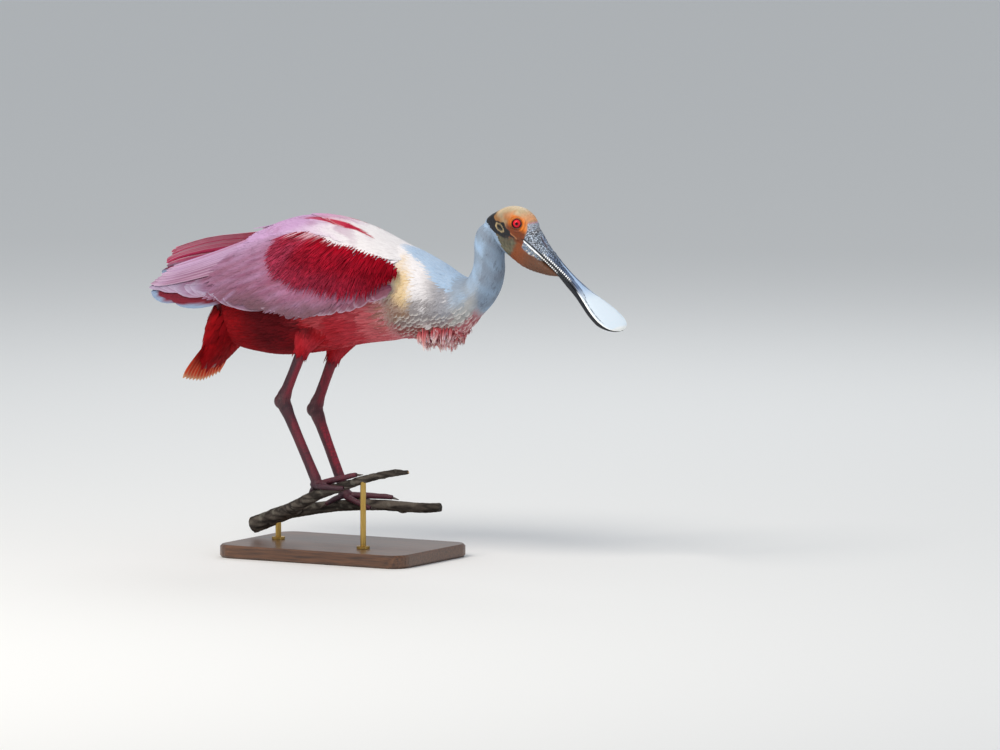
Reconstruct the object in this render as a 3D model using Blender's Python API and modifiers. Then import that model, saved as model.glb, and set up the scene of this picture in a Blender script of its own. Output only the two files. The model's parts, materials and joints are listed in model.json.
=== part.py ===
# Roseate spoonbill, life size, standing on a short forked limb that two rods hold over a flat base.
# Metres, +Z up. The bird faces +X, its right side is at -Y, and the floor under the base is z = 0.

import math
import random

import bmesh
import bpy
from mathutils import Matrix, Vector

MM = 0.001
WELD = 0.001 * MM
GAP = 0.3 * MM
CUT_CLEARANCE = 0.4 * MM
RIGHT, LEFT = -1, 1
SIDE_NAMES = {RIGHT: "right", LEFT: "left"}
SEED = 7
SMOOTH_BELOW = math.radians(38)
FEATHER_SOLVER = "MANIFOLD"

# Body and neck, as cross-sections along the middle line, front to back of the bird's right profile:
# x and z of the centre, tilt of the spine above +X in degrees, reach up, reach down, half width.
BODY_SIDES = 20
BODY_SECTIONS = {
    "rump_end": (-229, 301, -40, 14, 17, 16),
    "rump": (-212, 303, -14, 45, 50, 35),
    "vent": (-180, 312, 0, 68, 69, 47),
    "hips": (-140, 322, 0, 77, 80, 57),
    "loin": (-90, 329, 0, 76, 80, 61),
    "back": (-40, 331, 0, 69, 71, 61),
    "shoulders": (0, 328, 0, 57, 62, 57),
    "wishbone": (30, 324, 0, 53, 54, 51),
    "breast": (67, 316, 0, 45.5, 48, 41),
    "neck_root": (92, 316, 8, 35, 37, 31),
    "neck_bend_low": (111, 323, 23, 24.5, 24.5, 24.5),
    "neck_bend": (122, 332, 46, 21, 21, 21),
    "neck_bend_high": (129, 344, 67, 20, 20.5, 19),
    "neck_middle": (133, 358, 82, 19, 19.5, 17.5),
    "neck_upper": (134, 372, 80, 18.5, 18.3, 17),
    "neck_top": (134.5, 386, 80, 19.3, 18, 16.5),
    "nape": (137, 399, 74, 18, 17, 16),
    "nape_top": (141, 408, 62, 12, 15, 14),
}
TORSO_FIRST, TORSO_LAST, NECK_SPLIT, NECK_LAST = "rump_end", "neck_root", "neck_bend_high", "nape_top"

# Long loose feathers of the lower breast: rows along the body, how many across, where they start.
TUFT_ROWS, TUFT_PER_ROW = 4, 3
TUFT_FIRST_X, TUFT_LAST_X = 42, 90
TUFT_LENGTH, TUFT_HALF, TUFT_SUNK, TUFT_BOW = 17 * MM, 5 * MM, 4 * MM, 2.5 * MM
TUFT_SPREAD = 17

# The outside of the folded wings, over which the feathers lie: x, then the height of the ridge,
# of the widest line and of the lowest line, and the half width there.
WING_SHELL = [
    (45, 366, 330, 262, 54),
    (5, 384, 330, 254, 63),
    (-40, 402, 330, 243, 68),
    (-88, 410, 330, 237, 69),
    (-130, 407, 330, 239, 67),
    (-175, 391, 330, 244, 61),
    (-215, 376, 330, 250, 52),
    (-255, 362, 326, 254, 44),
    (-295, 347, 320, 256, 36),
    (-335, 331, 312, 258, 29),
]
# How much the back end of each folded wing is held above the common line, and reaches beyond it.
REAR_RAISE = {RIGHT: -5 * MM, LEFT: 13 * MM}
REAR_REACH = {RIGHT: 0 * MM, LEFT: 20 * MM}
REAR_FROM, RAISED_AT, REACHED_AT = -150 * MM, -260 * MM, -320 * MM
WING_CORE_THICK, WING_CORE_SUNK = 12 * MM, 0.6 * MM
STEEPEST = 88.0
MIDLINE_CLEARANCE = 0.4 * MM
MIDDLE_BLOCK, MIDDLE_BLOCK_X, MIDDLE_BLOCK_Z = Vector((0.8, 0.3, 0.5)), -0.1, 0.35

# The solid part of the folded wing: where its columns stand, and at x the angle of its lower and upper edge.
WING_CORE_XS = [34, 27, 8, -30, -85, -140, -190, -214]
WING_CORE_ROWS = 5
WING_CORE_EDGES = [
    (34, 2, 24),
    (22, -8, 42),
    (0, -16, 60),
    (-40, -21, 76),
    (-90, -23, 82),
    (-140, -19, 82),
    (-185, -13, 72),
    (-214, -5, 48),
]

# Tiers of feathers on a folded wing: how many, roots and tips of the first and last as x and angle,
# half width, lift at root and tip, tilt, sag. The first of a tier is the lowest.
WING_TIERS = {
    "primary": (4, (-180, -8), (-186, 9), (-284, -16), (-327, 0), 13, (-6.0, -1.2), 1.0, -4),
    "secondary": (5, (-124, -10), (-150, 20), (-206, -13), (-318, 13), 18, (-4.0, 2.4), 1.6, -3),
    "tertial": (4, (-124, 34), (-132, 66), (-318, 30), (-302, 62), 16, (-4.0, 4.6), 1.6, 4),
    "lower_covert": (5, (12, 2), (-86, 0), (0, -20), (-142, -26), 16, (-3.5, 2.6), 1.4, 0),
    "rear_covert": (3, (-84, 6), (-104, 36), (-168, -14), (-208, 22), 22, (-3.5, 5.0), 1.4, 0),
    "scapular": (3, (-2, 50), (-24, 74), (-140, 46), (-152, 76), 20, (-3.5, 7.5), 1.4, 0),
}
LONG_TIERS = ("primary", "secondary", "tertial")
# Feather outlines: share of the length, and share of the half width there.
LONG_OUTLINE = [(0.0, 0.5), (0.38, 0.95), (0.76, 1.0), (0.94, 0.62), (1.0, 0.2)]
SHORT_OUTLINE = [(0.0, 0.6), (0.5, 1.0), (0.9, 0.72), (1.0, 0.24)]
VANE_THICK = 1.1 * MM

# Tail: its core as share of the length, reach to the belly, reach to the back, half width.
TAIL_ROOT, TAIL_TIP = Vector((-217, 0, 292)) * MM, Vector((-267, 0, 203)) * MM
TAIL_SIDES = 16
TAIL_CORE = [(0.0, 26, 26, 34), (0.3, 22, 21, 34), (0.55, 14, 11, 31), (0.74, 7, 4, 26)]
TAIL_FEATHERS, TAIL_FAN, TAIL_HALF, TAIL_SPACING = 12, 19, 11 * MM, 20 * MM
TAIL_FEATHER_START, TAIL_ROUNDING, TAIL_FEATHER_TILT, TAIL_ROOF = 0.36, 0.07, 1.1 * MM, 3.0
# Covert tiers under the tail: how many, start and end along it, fan in degrees, half width.
TAIL_COVERT_TIERS = [(4, 0.38, 0.80, 13, 13), (3, 0.22, 0.62, 12, 15)]
TAIL_COVERT_SPACING, TAIL_COVERT_DEPTH = 24 * MM, 19

HEAD_SIDES = 18
HEAD_PITCH, HEAD_ROLL = 40, 5
HEAD_ORIGIN = Vector((191, 0, 396)) * MM
# Skull and throat pouch in the head's own frame, x along the bill: x, top, bottom, half width.
HEAD_SECTIONS = [
    (-58, -14, -22, 7),
    (-55.5, -7, -27, 13.5),
    (-49, 7.5, -32, 18),
    (-40, 16.8, -35, 20),
    (-29, 22.4, -36.5, 20.2),
    (-19, 23.6, -36.5, 19),
    (-10, 22.4, -36, 16.8),
    (-3, 19, -35.4, 14.4),
    (5, 9, -34.5, 12.8),
    (13, 0, -32.8, 12),
    (24, -4.5, -28.6, 11.2),
    (36, -5, -22.4, 9.8),
    (47, -4.6, -16, 7.8),
    (57, -4, -8, 4.6),
]
# Bill: x, height of the upper half, depth of the lower half, half width.
BILL_SECTIONS = [
    (-3, 20.6, 7.6, 14.2),
    (8, 15.2, 7.3, 12.8),
    (24, 10.2, 6.6, 10.8),
    (42, 7.2, 5.5, 8.8),
    (62, 5.4, 4.4, 7.9),
    (80, 4.6, 3.9, 9),
    (94, 4.2, 3.6, 12),
    (107, 3.9, 3.3, 16.8),
    (120, 3.6, 3, 21.8),
    (132, 3.3, 2.7, 25),
    (143, 3.0, 2.4, 25.2),
    (152, 2.6, 2, 21.6),
    (158, 2.2, 1.7, 14.6),
    (161, 1.8, 1.4, 7.5),
]
BILL_ARCH_POINTS = 9
BILL_ROUND_ABOVE, BILL_FLAT_CROWN, BILL_BASE_SLANT = 9, 0.62, 0.5
HOOP_SEGMENTS, HOOP_SIDES = 10, 4
EYE_PLACE, EYE_RADIUS = Vector((-20.4, 14.6, 9.7)) * MM, 6.4 * MM
LID_RING, LID_ROLL, LID_LEAN, LID_OFFSET = 5.7 * MM, 1.5 * MM, 12, Vector((0.6, 3.3, 0.4)) * MM
EAR_PLACE, EAR_LONG, EAR_SHORT = Vector((-34.5, 19.2, -10)) * MM, 5.4 * MM, 3.0 * MM
EAR_ROLL, EAR_LEAN = 1.2 * MM, 6
EAR_HOLE_OFFSET, EAR_HOLE_SIZE = Vector((0, 1.0, 0)) * MM, Vector((3.6, 2.4, 1.5)) * MM
NOSTRIL_PLACE, NOSTRIL_SIZE = Vector((15, 3.6, 13.2)) * MM, Vector((5.5, 0.8, 2.0)) * MM

# Legs: where the shank leaves the thigh, the heel, and the foot joint. The left foot stands lower.
LEG_JOINTS = {
    RIGHT: (Vector((-106, -35, 250)) * MM, Vector((-133, -35, 189)) * MM, Vector((-86, -34, 93)) * MM),
    LEFT: (Vector((-103, 35, 237)) * MM, Vector((-129, 35, 173)) * MM, Vector((-87, 34, 75)) * MM),
}
# Lengths of leg: share of the way down, half depth fore and aft, half width.
THIGH_REACH, THIGH_SECTIONS = 62 * MM, [(0.0, 34, 15), (0.45, 26, 14), (0.8, 15, 11), (1.0, 9.2, 8.2)]
SHANK_SECTIONS = [(0.0, 6.8, 5.6), (0.45, 6.2, 5.2), (0.75, 6.6, 5.8), (0.9, 8.6, 7.0), (1.0, 9.2, 7.4)]
TARSUS_SECTIONS = [
    (0.0, 8.6, 7.4), (0.1, 8.4, 7.0), (0.2, 7.0, 5.8), (0.45, 6.2, 5.0), (0.8, 6.2, 5.2), (1.0, 6.8, 6.0),
]
HEEL_SIZE, HEEL_DROP, HEEL_OFFSET = (10.4 * MM, 8.4 * MM, 9.6 * MM), 1.5 * MM, Vector((-1.0, 0, 0)) * MM
CUFF_REACH, CUFF_RADIUS = 3 * MM, 6.1 * MM
PALM_OFFSET, PALM_SIZE = Vector((1, 0, -3.5)) * MM, (9.5 * MM, 7.2 * MM, 5.6 * MM)

# Toes lie along the limb and wrap round it: reach along the limb, start and end angle, radius at root.
TOES = {
    "middle": (64, 4, 14, 4.2),
    "outer": (45, 18, 112, 3.9),
    "inner": (40, -18, -108, 3.8),
    "hind": (-22, -10, -66, 3.6),
}
TOE_STEPS, TOE_END_SHARE, TOE_KNUCKLE, TOE_WRAP_RADIUS, TOE_CLEARANCE = 7, 0.62, 0.35, 11, 0.5
TOE_ROOT_OFFSET = Vector((0, 0, -4.5))
CLAW_REACH, CLAW_RADIUS, CLAW_TIP, CLAW_STEPS = 9 * MM, 2.1 * MM, 0.4 * MM, (0.06, 0.35, 0.7, 1.0)

# Forked limb: centre line points and radius at each, in millimetres. The feet stand at the fourth point.
LIMB_RESOLUTION = 3
FOOT_POINT = 3
TRUNK = [(-196, 2, 31, 10.5), (-172, 0, 40, 10.2), (-150, 0, 49, 9.6), (-132, -2, 56, 8.6)]
LIMB_RIGHT = [
    (-168, 0, 44, 8.5), (-146, -7, 51, 8.2), (-118, -25, 62, 7.6), (-86, -34, 77, 7.0),
    (-45, -36, 91, 5.8), (0, -37, 105, 4.6), (36, -38, 112, 4.4), (44, -38, 112, 2.6),
]
LIMB_LEFT = [
    (-168, 0, 44, 8.2), (-146, 6, 49, 8.0), (-118, 24, 54, 7.4), (-87, 34, 58, 7.2),
    (-30, 36, 61, 6.8), (12, 37, 60, 6.4), (44, 38, 62, 6.0),
]
# Knots on the limb: which branch, place and size.
KNOTS = [
    (RIGHT, -128, -20, 56, 6.5), (RIGHT, 8, -38, 106, 4.6), (RIGHT, -182, 6, 37, 7.0),
    (LEFT, -8, 38, 58, 6.0),
]
KNOT_SHAPE = (1.4, 1.1, 1.0)

BASE_CENTRE_X = -70 * MM
BASE_LENGTH, BASE_WIDTH, BASE_THICK = 260 * MM, 172 * MM, 16 * MM
BASE_CORNER, BASE_EDGE = 22 * MM, 2.5 * MM
ROD_RADIUS, ROD_FLANGE, ROD_FLANGE_THICK, ROD_FILLET, ROD_STEPS = 3.5 * MM, 8 * MM, 3 * MM, 0.5 * MM, 16
# Rods: where each stands, and the height of its top.
RODS = {
    "stand_rod_back": (Vector((-160, 0, 0)) * MM, 43 * MM),
    "stand_rod_front": (Vector((-20, -36.5, 0)) * MM, 98 * MM),
}

# The box round the whole model has its bottom centre at the origin after this shift.
CENTRE_SHIFT = Vector((15.7, 0, 0)) * MM

# Colour and roughness of each finish.
FINISHES = {
    "pink feather": ((0.80, 0.36, 0.44), 0.7),
    "white feather": ((0.78, 0.78, 0.80), 0.75),
    "crimson feather": ((0.50, 0.03, 0.04), 0.7),
    "bare head skin": ((0.72, 0.40, 0.16), 0.5),
    "bill horn": ((0.50, 0.55, 0.60), 0.4),
    "eye": ((0.65, 0.02, 0.02), 0.1),
    "leg skin": ((0.22, 0.04, 0.07), 0.5),
    "claw": ((0.04, 0.03, 0.03), 0.4),
    "bark": ((0.16, 0.13, 0.11), 0.9),
    "stand wood": ((0.16, 0.09, 0.05), 0.4),
    "stand metal": ((0.45, 0.36, 0.22), 0.35),
}

def clear_scene():
    for old in list(bpy.data.objects):
        bpy.data.objects.remove(old, do_unlink=True)


def collection(name, hidden=False):
    made = bpy.data.collections.new(name)
    bpy.context.scene.collection.children.link(made)
    made.hide_render = hidden
    return made


def holder(name, place, turn, parent=None):
    """An empty that carries the pieces parented to it."""
    made = bpy.data.objects.new(name, None)
    bpy.context.scene.collection.objects.link(made)
    made.parent = parent
    made.location = place
    made.rotation_euler = turn
    return made


def finish(name, colour, roughness):
    material = bpy.data.materials.new(name)
    material.use_nodes = True
    shader = material.node_tree.nodes["Principled BSDF"]
    shader.inputs["Base Color"].default_value = (*colour, 1.0)
    shader.inputs["Roughness"].default_value = roughness
    return material


class Profile:
    """Values along one axis, joined by smooth curves through the listed rows."""

    def __init__(self, rows):
        self.rows = sorted(rows)

    def slope(self, i, k):
        before = self.rows[max(i - 1, 0)]
        after = self.rows[min(i + 1, len(self.rows) - 1)]
        return (after[k] - before[k]) / (after[0] - before[0])

    def __call__(self, at):
        at = min(max(at, self.rows[0][0]), self.rows[-1][0])
        i = max(n for n, row in enumerate(self.rows[:-1]) if row[0] <= at)
        low, high = self.rows[i], self.rows[i + 1]
        span = high[0] - low[0]
        t = (at - low[0]) / span
        values = []
        for k in range(1, len(low)):
            start, end = self.slope(i, k) * span, self.slope(i + 1, k) * span
            values.append(
                low[k] * (2 * t**3 - 3 * t**2 + 1)
                + high[k] * (3 * t**2 - 2 * t**3)
                + start * (t**3 - 2 * t**2 + t)
                + end * (t**3 - t**2)
            )
        return values


wing_shell = Profile([tuple(v * MM for v in row) for row in WING_SHELL])
wing_edges = Profile([(row[0] * MM, row[1], row[2]) for row in WING_CORE_EDGES])


def eased(low, high, at):
    t = min(max((at - low) / (high - low), 0.0), 1.0)
    return t * t * (3 - 2 * t)


def body_from(name, bm, material, where, parent):
    """A new object from a mesh under construction."""
    mesh = bpy.data.meshes.new(name)
    bmesh.ops.recalc_face_normals(bm, faces=bm.faces)
    bm.to_mesh(mesh)
    bm.free()
    mesh.materials.append(material)
    made = bpy.data.objects.new(name, mesh)
    made.parent = parent
    where.objects.link(made)
    return made


def evaluated_mesh(body):
    """The mesh that an object's modifiers or curve settings make of it."""
    bpy.context.view_layer.update()
    graph = bpy.context.evaluated_depsgraph_get()
    return bpy.data.meshes.new_from_object(body.evaluated_get(graph))


def apply_modifiers(body):
    mesh = evaluated_mesh(body)
    body.modifiers.clear()
    body.data = mesh


def shell_size(shell):
    places = [vert.co for face in shell for vert in face.verts]
    spans = [max(p[k] for p in places) - min(p[k] for p in places) for k in range(3)]
    return spans[0] * spans[1] * spans[2]


def keep_largest(body):
    """Drops sealed hollows and loose scraps, so that the node is its largest closed surface."""
    bm = bmesh.new()
    bm.from_mesh(body.data)
    bmesh.ops.triangulate(bm, faces=bm.faces)
    unseen = set(bm.faces)
    shells = []
    while unseen:
        shell, ahead = set(), [unseen.pop()]
        while ahead:
            face = ahead.pop()
            shell.add(face)
            for edge in face.edges:
                for other in edge.link_faces:
                    if other in unseen:
                        unseen.remove(other)
                        ahead.append(other)
        shells.append(shell)
    shells.sort(key=shell_size)
    bmesh.ops.delete(bm, geom=[face for shell in shells[:-1] for face in shell], context="FACES")
    bm.to_mesh(body.data)
    bm.free()


def join_pieces(body, pieces, solver="EXACT"):
    """Fuses closed pieces into a body with one union over their collection."""
    together = collection(body.name + "_pieces")
    for piece in pieces:
        for old in list(piece.users_collection):
            old.objects.unlink(piece)
        together.objects.link(piece)
    union = body.modifiers.new("fused", "BOOLEAN")
    union.operation = "UNION"
    union.operand_type = "COLLECTION"
    union.collection = together
    union.solver = solver
    apply_modifiers(body)
    for piece in list(together.objects):
        bpy.data.objects.remove(piece, do_unlink=True)
    bpy.data.collections.remove(together)
    keep_largest(body)


def cut_by(body, cutter, solver="EXACT"):
    difference = body.modifiers.new("cut", "BOOLEAN")
    difference.operation = "DIFFERENCE"
    difference.object = cutter
    difference.solver = solver
    apply_modifiers(body)
    keep_largest(body)


def as_cutter(body):
    body.display_type = "WIRE"
    body.hide_render = True
    return body


def swollen_copy(body, where):
    """A cutter that is the body grown by a clearance, for a neighbour that lies on it."""
    cutter = body.copy()
    cutter.data = body.data.copy()
    cutter.name = body.name + "_cutter"
    where.objects.link(cutter)
    swell = cutter.modifiers.new("swell", "DISPLACE")
    swell.direction = "NORMAL"
    swell.mid_level = 0.0
    swell.strength = CUT_CLEARANCE
    apply_modifiers(cutter)
    return as_cutter(cutter)


def ellipse_ring(centre, side, up, half_width, reach_up, reach_down, sides):
    ring = []
    for n in range(sides):
        angle = 2 * math.pi * (n + 0.5) / sides
        reach = reach_up if math.sin(angle) > 0 else reach_down
        ring.append(centre + side * (half_width * math.cos(angle)) + up * (reach * math.sin(angle)))
    return ring


def loft(rings):
    """A closed body through unlike sections of equal count, with a flat cap at each end."""
    bm = bmesh.new()
    layers = [[bm.verts.new(point) for point in ring] for ring in rings]
    count = len(layers[0])
    for low, high in zip(layers, layers[1:]):
        for n in range(count):
            m = (n + 1) % count
            bm.faces.new((low[n], low[m], high[m], high[n]))
    bm.faces.new(reversed(layers[0]))
    bm.faces.new(layers[-1])
    return bm


def sheet(name, across, along, place, thickness, material, where, parent, fullness=None):
    """A grid whose points are put where place(column, row) says, thickened to a sheet.
    fullness(column, row) gives the share of the thickness at a point."""
    bm = bmesh.new()
    bmesh.ops.create_grid(bm, x_segments=across, y_segments=along, size=1.0)
    depth = bm.verts.layers.deform.verify()
    for vert in bm.verts:
        column = round((vert.co.x + 1) / 2 * across)
        row = round((vert.co.y + 1) / 2 * along)
        vert.co = place(column, row)
        vert[depth][0] = fullness(column, row) if fullness else 1.0
    bmesh.ops.triangulate(bm, faces=bm.faces)
    made = body_from(name, bm, material, where, parent)
    made.vertex_groups.new(name="depth")
    thick = made.modifiers.new("thick", "SOLIDIFY")
    thick.thickness = thickness
    thick.offset = 0.0
    thick.use_even_offset = True
    thick.vertex_group = "depth"
    return made


def tube(name, spots, resolution, material, where, parent):
    """A round bar through places with radii: a bevelled curve made into a closed mesh."""
    line = bpy.data.curves.new(name, "CURVE")
    line.dimensions = "3D"
    line.bevel_depth = MM
    line.bevel_resolution = resolution
    line.use_fill_caps = True
    spline = line.splines.new("POLY")
    spline.points.add(len(spots) - 1)
    for point, (place, radius) in zip(spline.points, spots):
        point.co = (*place, 1.0)
        point.radius = radius / MM
    guide = bpy.data.objects.new(name + "_line", line)
    where.objects.link(guide)
    bm = bmesh.new()
    bm.from_mesh(evaluated_mesh(guide))
    bmesh.ops.remove_doubles(bm, verts=bm.verts, dist=WELD)
    bpy.data.objects.remove(guide, do_unlink=True)
    return body_from(name, bm, material, where, parent)


def ball(name, place, radii, segments, rows, material, where, parent):
    bm = bmesh.new()
    bmesh.ops.create_uvsphere(bm, u_segments=segments, v_segments=rows, radius=1.0)
    bmesh.ops.transform(bm, matrix=Matrix.Translation(place) @ Matrix.Diagonal((*radii, 1.0)), verts=bm.verts)
    return body_from(name, bm, material, where, parent)


def hoop(name, place, long_radius, short_radius, roll, turn, material, where, parent):
    """A ring of round section, such as an eyelid, with its hole along its own Z axis."""
    bpy.ops.mesh.primitive_torus_add(
        major_segments=HOOP_SEGMENTS, minor_segments=HOOP_SIDES, major_radius=long_radius, minor_radius=roll
    )
    torus = bpy.context.object
    squash = Matrix.Diagonal((1.0, short_radius / long_radius, 1.0, 1.0))
    bm = bmesh.new()
    bm.from_mesh(torus.data)
    bmesh.ops.transform(bm, matrix=Matrix.Translation(place) @ turn @ squash, verts=bm.verts)
    bpy.data.objects.remove(torus, do_unlink=True)
    return body_from(name, bm, material, where, parent)


def mirrored(place, side):
    return Vector((place.x, place.y * side, place.z))


def spread(first, last, count):
    """Evenly spaced tuples between two."""
    steps = [n / (count - 1) for n in range(count)]
    return [tuple(a + (b - a) * t for a, b in zip(first, last)) for t in steps]


def centred(n, count):
    """Where the nth of a row stands, from -1 at one end to 1 at the other."""
    return 2 * n / (count - 1) - 1


def body_ring(position, sides, shift=0.0):
    """The body's cross-section at a place between the named ones, counted from the first."""
    x, z, tilt, up, down, half = Profile([(n, *row) for n, row in enumerate(BODY_SECTIONS.values())])(position)
    turn = math.radians(tilt)
    forward = Vector((math.cos(turn), 0, math.sin(turn)))
    rising = Vector((-math.sin(turn), 0, math.cos(turn)))
    centre = Vector((x, 0, z)) * MM + forward * shift
    return ellipse_ring(centre, Vector((0, 1, 0)), rising, half * MM, up * MM, down * MM, sides)


def body_length(name, first, last, per_section, material, where, parent):
    """One length of the body between two named cross-sections, kept half a gap short at each."""
    names = list(BODY_SECTIONS)
    start, end = names.index(first), names.index(last)
    count = round((end - start) * per_section) + 1
    rings = []
    for n in range(count):
        position = start + (end - start) * n / (count - 1)
        shift = GAP / 2 * ((n == 0) - (n == count - 1))
        rings.append(body_ring(position, BODY_SIDES, shift))
    return body_from(name, loft(rings), material, where, parent)


def breast_tuft(material, where, parent):
    """Long loose feathers that hang in rows from the lower breast."""
    draw = random.Random(SEED)
    lower = Profile([(row[0], row[1], row[4], row[5]) for row in list(BODY_SECTIONS.values())[3:10]])
    locks = []
    for r in range(TUFT_ROWS):
        for k in range(TUFT_PER_ROW):
            step = (r + 0.5 * (k % 2)) / (TUFT_ROWS - 0.5)
            x = TUFT_FIRST_X + (TUFT_LAST_X - TUFT_FIRST_X) * step + draw.uniform(-2, 2)
            z, down, half = lower(x)
            turn = math.radians(-90 + TUFT_SPREAD * centred(k, TUFT_PER_ROW))
            out = Vector((0, math.cos(turn), math.sin(turn)))
            root = Vector((x, half * out.y, z + down * out.z)) * MM - out * TUFT_SUNK
            length = TUFT_LENGTH * draw.uniform(0.8, 1.1) * (0.72 if r in (0, TUFT_ROWS - 1) else 1.0)
            drift = Vector((draw.uniform(-0.35, -0.05), 0.35 * out.y, -1)).normalized()
            flat = Vector((0.9, draw.uniform(-0.5, 0.5), 0)).normalized()
            flat = (flat - drift * flat.dot(drift)).normalized()
            facing = drift.cross(flat)

            def place(column, row):
                share, width = SHORT_OUTLINE[row]
                bow = facing * (TUFT_BOW * share * share)
                return root + drift * (length * share) + bow + flat * ((column - 1) * TUFT_HALF * width)

            name = f"lock_{r}_{k}"
            locks.append(sheet(name, 2, len(SHORT_OUTLINE) - 1, place, VANE_THICK, material, where, parent))
    return locks


def wing_point(side, x, angle):
    """A place on the outside of a folded wing: x along the bird, angle in degrees above the widest line."""
    ridge, widest, lowest, half_width = wing_shell(x)
    turn = math.radians(angle)
    reach = ridge - widest if turn > 0 else widest - lowest
    z = widest + reach * math.sin(turn) + REAR_RAISE[side] * eased(REAR_FROM, RAISED_AT, x)
    x -= REAR_REACH[side] * eased(REAR_FROM, REACHED_AT, x)
    return Vector((x, side * half_width * math.cos(turn), z))


def wing_frame(side, x, angle):
    """Place, outward normal, and how the place moves with x and with the angle."""
    step, turn = 1 * MM, 1.0
    place = wing_point(side, x, angle)
    by_x = (wing_point(side, x + step, angle) - wing_point(side, x - step, angle)) / (2 * step)
    by_angle = (wing_point(side, x, angle + turn) - wing_point(side, x, angle - turn)) / (2 * turn)
    return place, by_x.cross(by_angle).normalized() * -side, by_x, by_angle


def wing_feather(name, side, root, tip, tier, outline, material, where, parent):
    """A vane laid on the folded wing from root to tip, each given as x in millimetres and angle.
    It is sunk at the root, stands off at the tip, and tilts so that its neighbour slides under one edge."""
    half_width, lifts, tilt, sag = tier

    def place(column, row):
        share, width = outline[row]
        x = (root[0] + (tip[0] - root[0]) * share) * MM
        angle = root[1] + (tip[1] - root[1]) * share + sag * math.sin(math.pi * share)
        _, normal, by_x, by_angle = wing_frame(side, x, angle)
        turning = tip[1] - root[1] + sag * math.pi * math.cos(math.pi * share)
        along = by_x * (tip[0] - root[0]) * MM + by_angle * turning
        across = normal.cross(along).normalized() * (half_width * MM * width) * side
        xx, xa, aa = by_x.dot(by_x), by_x.dot(by_angle), by_angle.dot(by_angle)
        scale = xx * aa - xa * xa
        move_x = (across.dot(by_x) * aa - across.dot(by_angle) * xa) / scale
        move_angle = (across.dot(by_angle) * xx - across.dot(by_x) * xa) / scale
        k = column - 1
        spot, out, _, _ = wing_frame(side, x + k * move_x, min(angle + k * move_angle, STEEPEST))
        lift = lifts[0] + (lifts[1] - lifts[0]) * share
        return spot + out * (lift - k * tilt * min(share * 3, 1.0)) * MM

    return sheet(name, 2, len(outline) - 1, place, VANE_THICK, material, where, parent)


def wing_core(side, material, where, parent):
    """The solid of a folded wing under its feathers, thin at the rim and bowed over the body."""
    columns, rows = len(WING_CORE_XS) - 1, WING_CORE_ROWS

    def fullness(column, row):
        along = math.sin(math.pi * min(max(column / columns, 0.06), 0.94))
        across = math.sin(math.pi * min(max(row / rows, 0.08), 0.92))
        return min(along * 2.2, 1.0) * min(across * 2.2, 1.0)

    def place(column, row):
        x = WING_CORE_XS[column] * MM
        low, high = wing_edges(x)
        spot, out, _, _ = wing_frame(side, x, low + (high - low) * row / rows)
        return spot - out * (WING_CORE_SUNK + WING_CORE_THICK / 2 * fullness(column, row))

    name = "wing_" + SIDE_NAMES[side]
    return sheet(name, columns, rows, place, WING_CORE_THICK, material, where, parent, fullness)


def middle_block(side, material, where, parent):
    """A block over everything on the other wing's side of the middle line."""
    bm = bmesh.new()
    bmesh.ops.create_cube(bm, size=1.0)
    centre = Vector((MIDDLE_BLOCK_X, -side * (MIDDLE_BLOCK.y / 2 - MIDLINE_CLEARANCE), MIDDLE_BLOCK_Z))
    bmesh.ops.scale(bm, vec=MIDDLE_BLOCK, verts=bm.verts)
    bmesh.ops.translate(bm, vec=centre, verts=bm.verts)
    return as_cutter(body_from("middle_" + SIDE_NAMES[side], bm, material, where, parent))


def wing(side, torso_cutter, finishes, where, cutters, parent):
    vane = finishes["pink feather"]
    core = wing_core(side, vane, where, parent)
    pieces = []
    for name, (count, first_root, last_root, first_tip, last_tip, *tier) in WING_TIERS.items():
        outline = LONG_OUTLINE if name in LONG_TIERS else SHORT_OUTLINE
        ends = zip(spread(first_root, last_root, count), spread(first_tip, last_tip, count))
        for n, (root, tip) in enumerate(ends):
            pieces.append(wing_feather(f"{name}_{n}", side, root, tip, tier, outline, vane, where, parent))
    join_pieces(core, pieces, FEATHER_SOLVER)
    cut_by(core, torso_cutter, FEATHER_SOLVER)
    cut_by(core, middle_block(side, vane, cutters, parent), FEATHER_SOLVER)


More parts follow.
